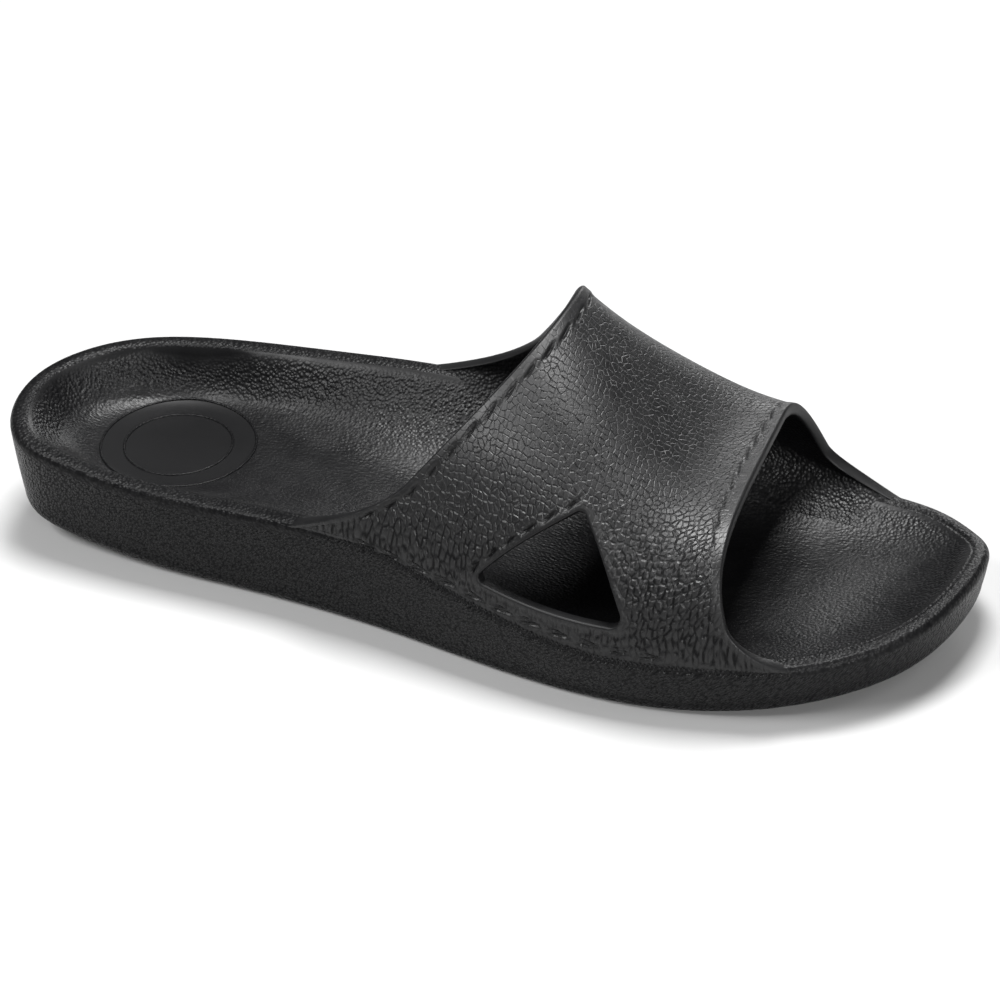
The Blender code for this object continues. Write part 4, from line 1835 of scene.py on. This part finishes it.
    def dress(self, piece: bpy.types.Object, share: Array, across: Array) -> None:
        """Chart the grain on the upper in its own sizes.

        Args:
            piece: the upper.
            share: each point's place from rear to front.
            across: each point's place from lateral to medial foot.
        """
        skin = self.skin
        foot = np.minimum(skin.lateral, skin.medial)
        add_chart(piece, "chart", skin.read(self.unroll(foot), share, across))
        above = skin.read(foot, share, across)
        add_measure(piece, "folds", 1 - smoothstep(*self.folds_mm, above))
        rear = skin.read(skin.rear, share, across)
        front = skin.read(skin.front, share, across)
        points = skin.read(skin.points, share, across)
        edge = np.minimum(np.minimum(rear, front), self.hole_distance(points))
        grain = 1.0
        for (least, low, high), gap in ((self.foot_grain, above), (self.edge_grain, edge)):
            grain = grain * (least + (1 - least) * smoothstep(low, high, gap))
        add_measure(piece, "grain", grain)


@dataclass
class RimCord:
    """The corded edge round the rim, moulded like a row of small oblique stitches."""

    sole: Sole
    pitch: float = 1.3
    radius: float = 1.0
    sink: float = 0.4
    rib: float = 0.2
    rib_fade: tuple[float, float] = (0.5, 1.0)
    lay: float = 1.0
    seat: float = 45.0
    lateral_fade: tuple[float, float] = (98.0, 120.0)
    medial_fade: tuple[float, float] = (104.0, 126.0)
    toe_fade: tuple[float, float] = (230.0, 246.0)
    end_sink: float = 1.3
    rib_steps: int = 5
    round_steps: int = 10

    def build(self) -> bpy.types.Object:
        """Build the cord.

        Returns:
            The piece.
        """
        last = self.sole.last
        edge, inward = last.outline(FINE_TURNS)
        length = run_length(np.column_stack([edge, last.rim(FINE_TURNS)]))
        ribs = round(length[-1] / self.pitch)
        count = ribs * self.rib_steps
        turn = np.interp(np.arange(count) * length[-1] / count, length, FINE_TURNS)
        edge, inward = last.outline(turn)
        lateral = smoothstep(*self.lateral_fade, edge[:, 0])
        start = np.where(edge[:, 1] < 0, lateral, smoothstep(*self.medial_fade, edge[:, 0]))
        fade = 1 - start * (1 - smoothstep(*self.toe_fade, edge[:, 0]))
        seat = math.radians(self.seat)
        out = self.sole.rim_round - self.sink - self.end_sink * fade
        across = self.sole.rim_round - out * math.cos(seat)
        height = last.rim(turn) - self.sole.rim_round + out * math.sin(seat)
        middle = np.column_stack([edge + inward * across[:, None], height])
        around = np.linspace(0, LAP, self.round_steps, endpoint=False)
        phase = np.arange(count)[:, None] * LAP / self.rib_steps + self.lay * around
        clear = smoothstep(*self.rib_fade, 1 - fade)[:, None]
        radius = self.radius * (1 + self.rib * clear * np.cos(phase))
        outwards = np.column_stack([-inward, np.zeros(count)])
        points = (
            middle[:, None]
            + outwards[:, None] * (radius * np.cos(around))[..., None]
            + np.array([0.0, 0.0, 1.0]) * (radius * np.sin(around))[..., None]
        )
        faces = tube_faces(count, self.round_steps, closed=True)
        return make_piece("rim_cord", points.reshape(-1, 3), faces, (SATIN,))


@dataclass
class HeelStamp:
    """The round stamp in the heel of the footbed: two plain raised rings."""

    sole: bpy.types.Object
    middle: tuple[float, float] = FOOTBED.stamp_middle
    radii: tuple[float, float] = (FOOTBED.stamp_radius, 15.6)
    width: float = 0.8
    height: float = 0.35
    steps: int = 240
    round_steps: int = 10

    def build(self) -> bpy.types.Object:
        """Build the rings.

        Returns:
            The piece.
        """
        tree = BVHTree.FromObject(self.sole, bpy.context.evaluated_depsgraph_get())
        turn = np.linspace(0, LAP, self.steps, endpoint=False)
        around = np.linspace(0, LAP, self.round_steps, endpoint=False)
        spokes = np.column_stack([np.cos(turn), np.sin(turn), np.zeros(self.steps)])
        side = spokes[:, None] * (np.cos(around) * self.width / 2)[None, :, None]
        skin = tube_faces(self.steps, self.round_steps, closed=True)
        points = []
        faces = []
        for k, radius in enumerate(self.radii):
            line = np.array([*self.middle, 0.0]) + spokes * radius
            line[:, 2] = [drop(tree, point) for point in line]
            ring = line[:, None] + side
            ring[..., 2] += np.sin(around) * self.height
            points.append(ring.reshape(-1, 3))
            faces.append(skin + k * self.steps * self.round_steps)
        return make_piece("heel_rings", np.concatenate(points), np.concatenate(faces), (SATIN,))


@dataclass(frozen=True)
class Softbox:
    """A square soft studio light: its place in metres, its power, its aim and its size."""

    name: str
    spot: tuple[float, float, float]
    power: float
    aim: tuple[float, float, float] = (0.0, 0.0, 0.03)
    size: float = 0.45


@dataclass
class Studio:
    """Pale floor, soft lights and the camera at the photograph's angle."""

    azimuth: float = 20.67
    elevation: float = 34.47
    roll: float = -1.75
    distance: float = 1043.3
    focal_share: float = 3.61497
    target: tuple[float, float, float] = (135.2, 26.11, 7.02)
    sensor: float = 36.0
    floor_half: float = 8.0
    far_clip: float = 50.0
    floor_colour: str = "#aaaaaa"
    floor_roughness: float = 0.9
    sky_colour: str = "#ffffff"
    sky_strength: float = 0.14
    lights: tuple[Softbox, ...] = (
        Softbox("key_softbox", (0.02, 0.23, 1.33), 31.0),
        Softbox("back_softbox", (0.0, 1.25, 0.51), 6.0),
        Softbox("heel_softbox", (-0.61, -0.61, 1.03), 14.0),
        Softbox("front_softbox", (0.88, -0.88, 0.51), 11.0),
        Softbox("toe_softbox", (0.87, 0.0, 1.03), 2.2),
    )

    def build(self) -> None:
        """Build the floor, the sky, the lights and the camera."""
        self.floor()
        self.sky()
        for box in self.lights:
            self.light(box)
        self.camera()

    def floor(self) -> None:
        """Lay the floor, a smooth matt card."""
        half = self.floor_half
        mesh = bpy.data.meshes.new("floor")
        corners = [(-half, -half, 0), (half, -half, 0), (half, half, 0), (-half, half, 0)]
        mesh.from_pydata(corners, [], [(0, 1, 2, 3)])
        card = bpy.data.materials.new("matt_white_card")
        card.use_nodes = True
        surface = card.node_tree.nodes["Principled BSDF"]
        surface.inputs["Base Color"].default_value = linear(self.floor_colour)
        surface.inputs["Roughness"].default_value = self.floor_roughness
        mesh.materials.append(card)
        ground = bpy.data.objects.new("floor", mesh)
        bpy.context.scene.collection.objects.link(ground)

    def sky(self) -> None:
        """Set the even light of a white room."""
        world = bpy.data.worlds.new("white_room")
        world.use_nodes = True
        background = world.node_tree.nodes["Background"]
        background.inputs["Color"].default_value = linear(self.sky_colour)
        background.inputs["Strength"].default_value = self.sky_strength
        bpy.context.scene.world = world
        bpy.context.scene.view_settings.view_transform = "Standard"

    def light(self, box: Softbox) -> None:
        """Hang one softbox, facing its aim.

        Args:
            box: the softbox.
        """
        lamp = bpy.data.lights.new(box.name, "AREA")
        lamp.shape = "SQUARE"
        lamp.size = box.size
        lamp.energy = box.power
        made = bpy.data.objects.new(box.name, lamp)
        made.location = box.spot
        facing = Vector(box.aim) - Vector(box.spot)
        made.rotation_euler = facing.to_track_quat("-Z", "Y").to_euler()
        bpy.context.scene.collection.objects.link(made)

    def camera(self) -> None:
        """Set the camera at the photograph's angle to the shoe, rolled as it is there."""
        azimuth, elevation, roll = (
            math.radians(a) for a in (self.azimuth, self.elevation, self.roll)
        )
        back = Vector(
            (
                math.sin(azimuth) * math.cos(elevation),
                -math.cos(azimuth) * math.cos(elevation),
                math.sin(elevation),
            )
        )
        level = Vector((math.cos(azimuth), math.sin(azimuth), 0.0))
        upright = back.cross(level)
        right = level * math.cos(roll) + upright * math.sin(roll)
        up = upright * math.cos(roll) - level * math.sin(roll)
        lens = bpy.data.cameras.new("camera")
        lens.sensor_width = self.sensor
        lens.lens = self.focal_share * self.sensor
        lens.clip_end = self.far_clip
        made = bpy.data.objects.new("camera", lens)
        spot = Vector(place(np.array(self.target))) + back * self.distance * MM
        turn = Matrix((right, up, back)).transposed().to_4x4()
        made.matrix_world = Matrix.Translation(spot) @ turn
        bpy.context.scene.collection.objects.link(made)
        bpy.context.scene.camera = made


def main() -> None:
    """Build the studio and the slide, and report each piece."""
    logging.basicConfig(level=logging.INFO, format="%(name)s %(message)s")
    Studio().build()
    base = Sole(LAST)
    sole = base.build()
    upper = Upper(UpperSkin(LAST), Opening(), sole).build()
    cord = RimCord(base).build()
    rings = HeelStamp(sole).build()
    for piece in (sole, *upper, cord, rings):
        log.info("%s: %d faces", piece.name, len(piece.data.polygons))


if __name__ == "__main__":
    main()
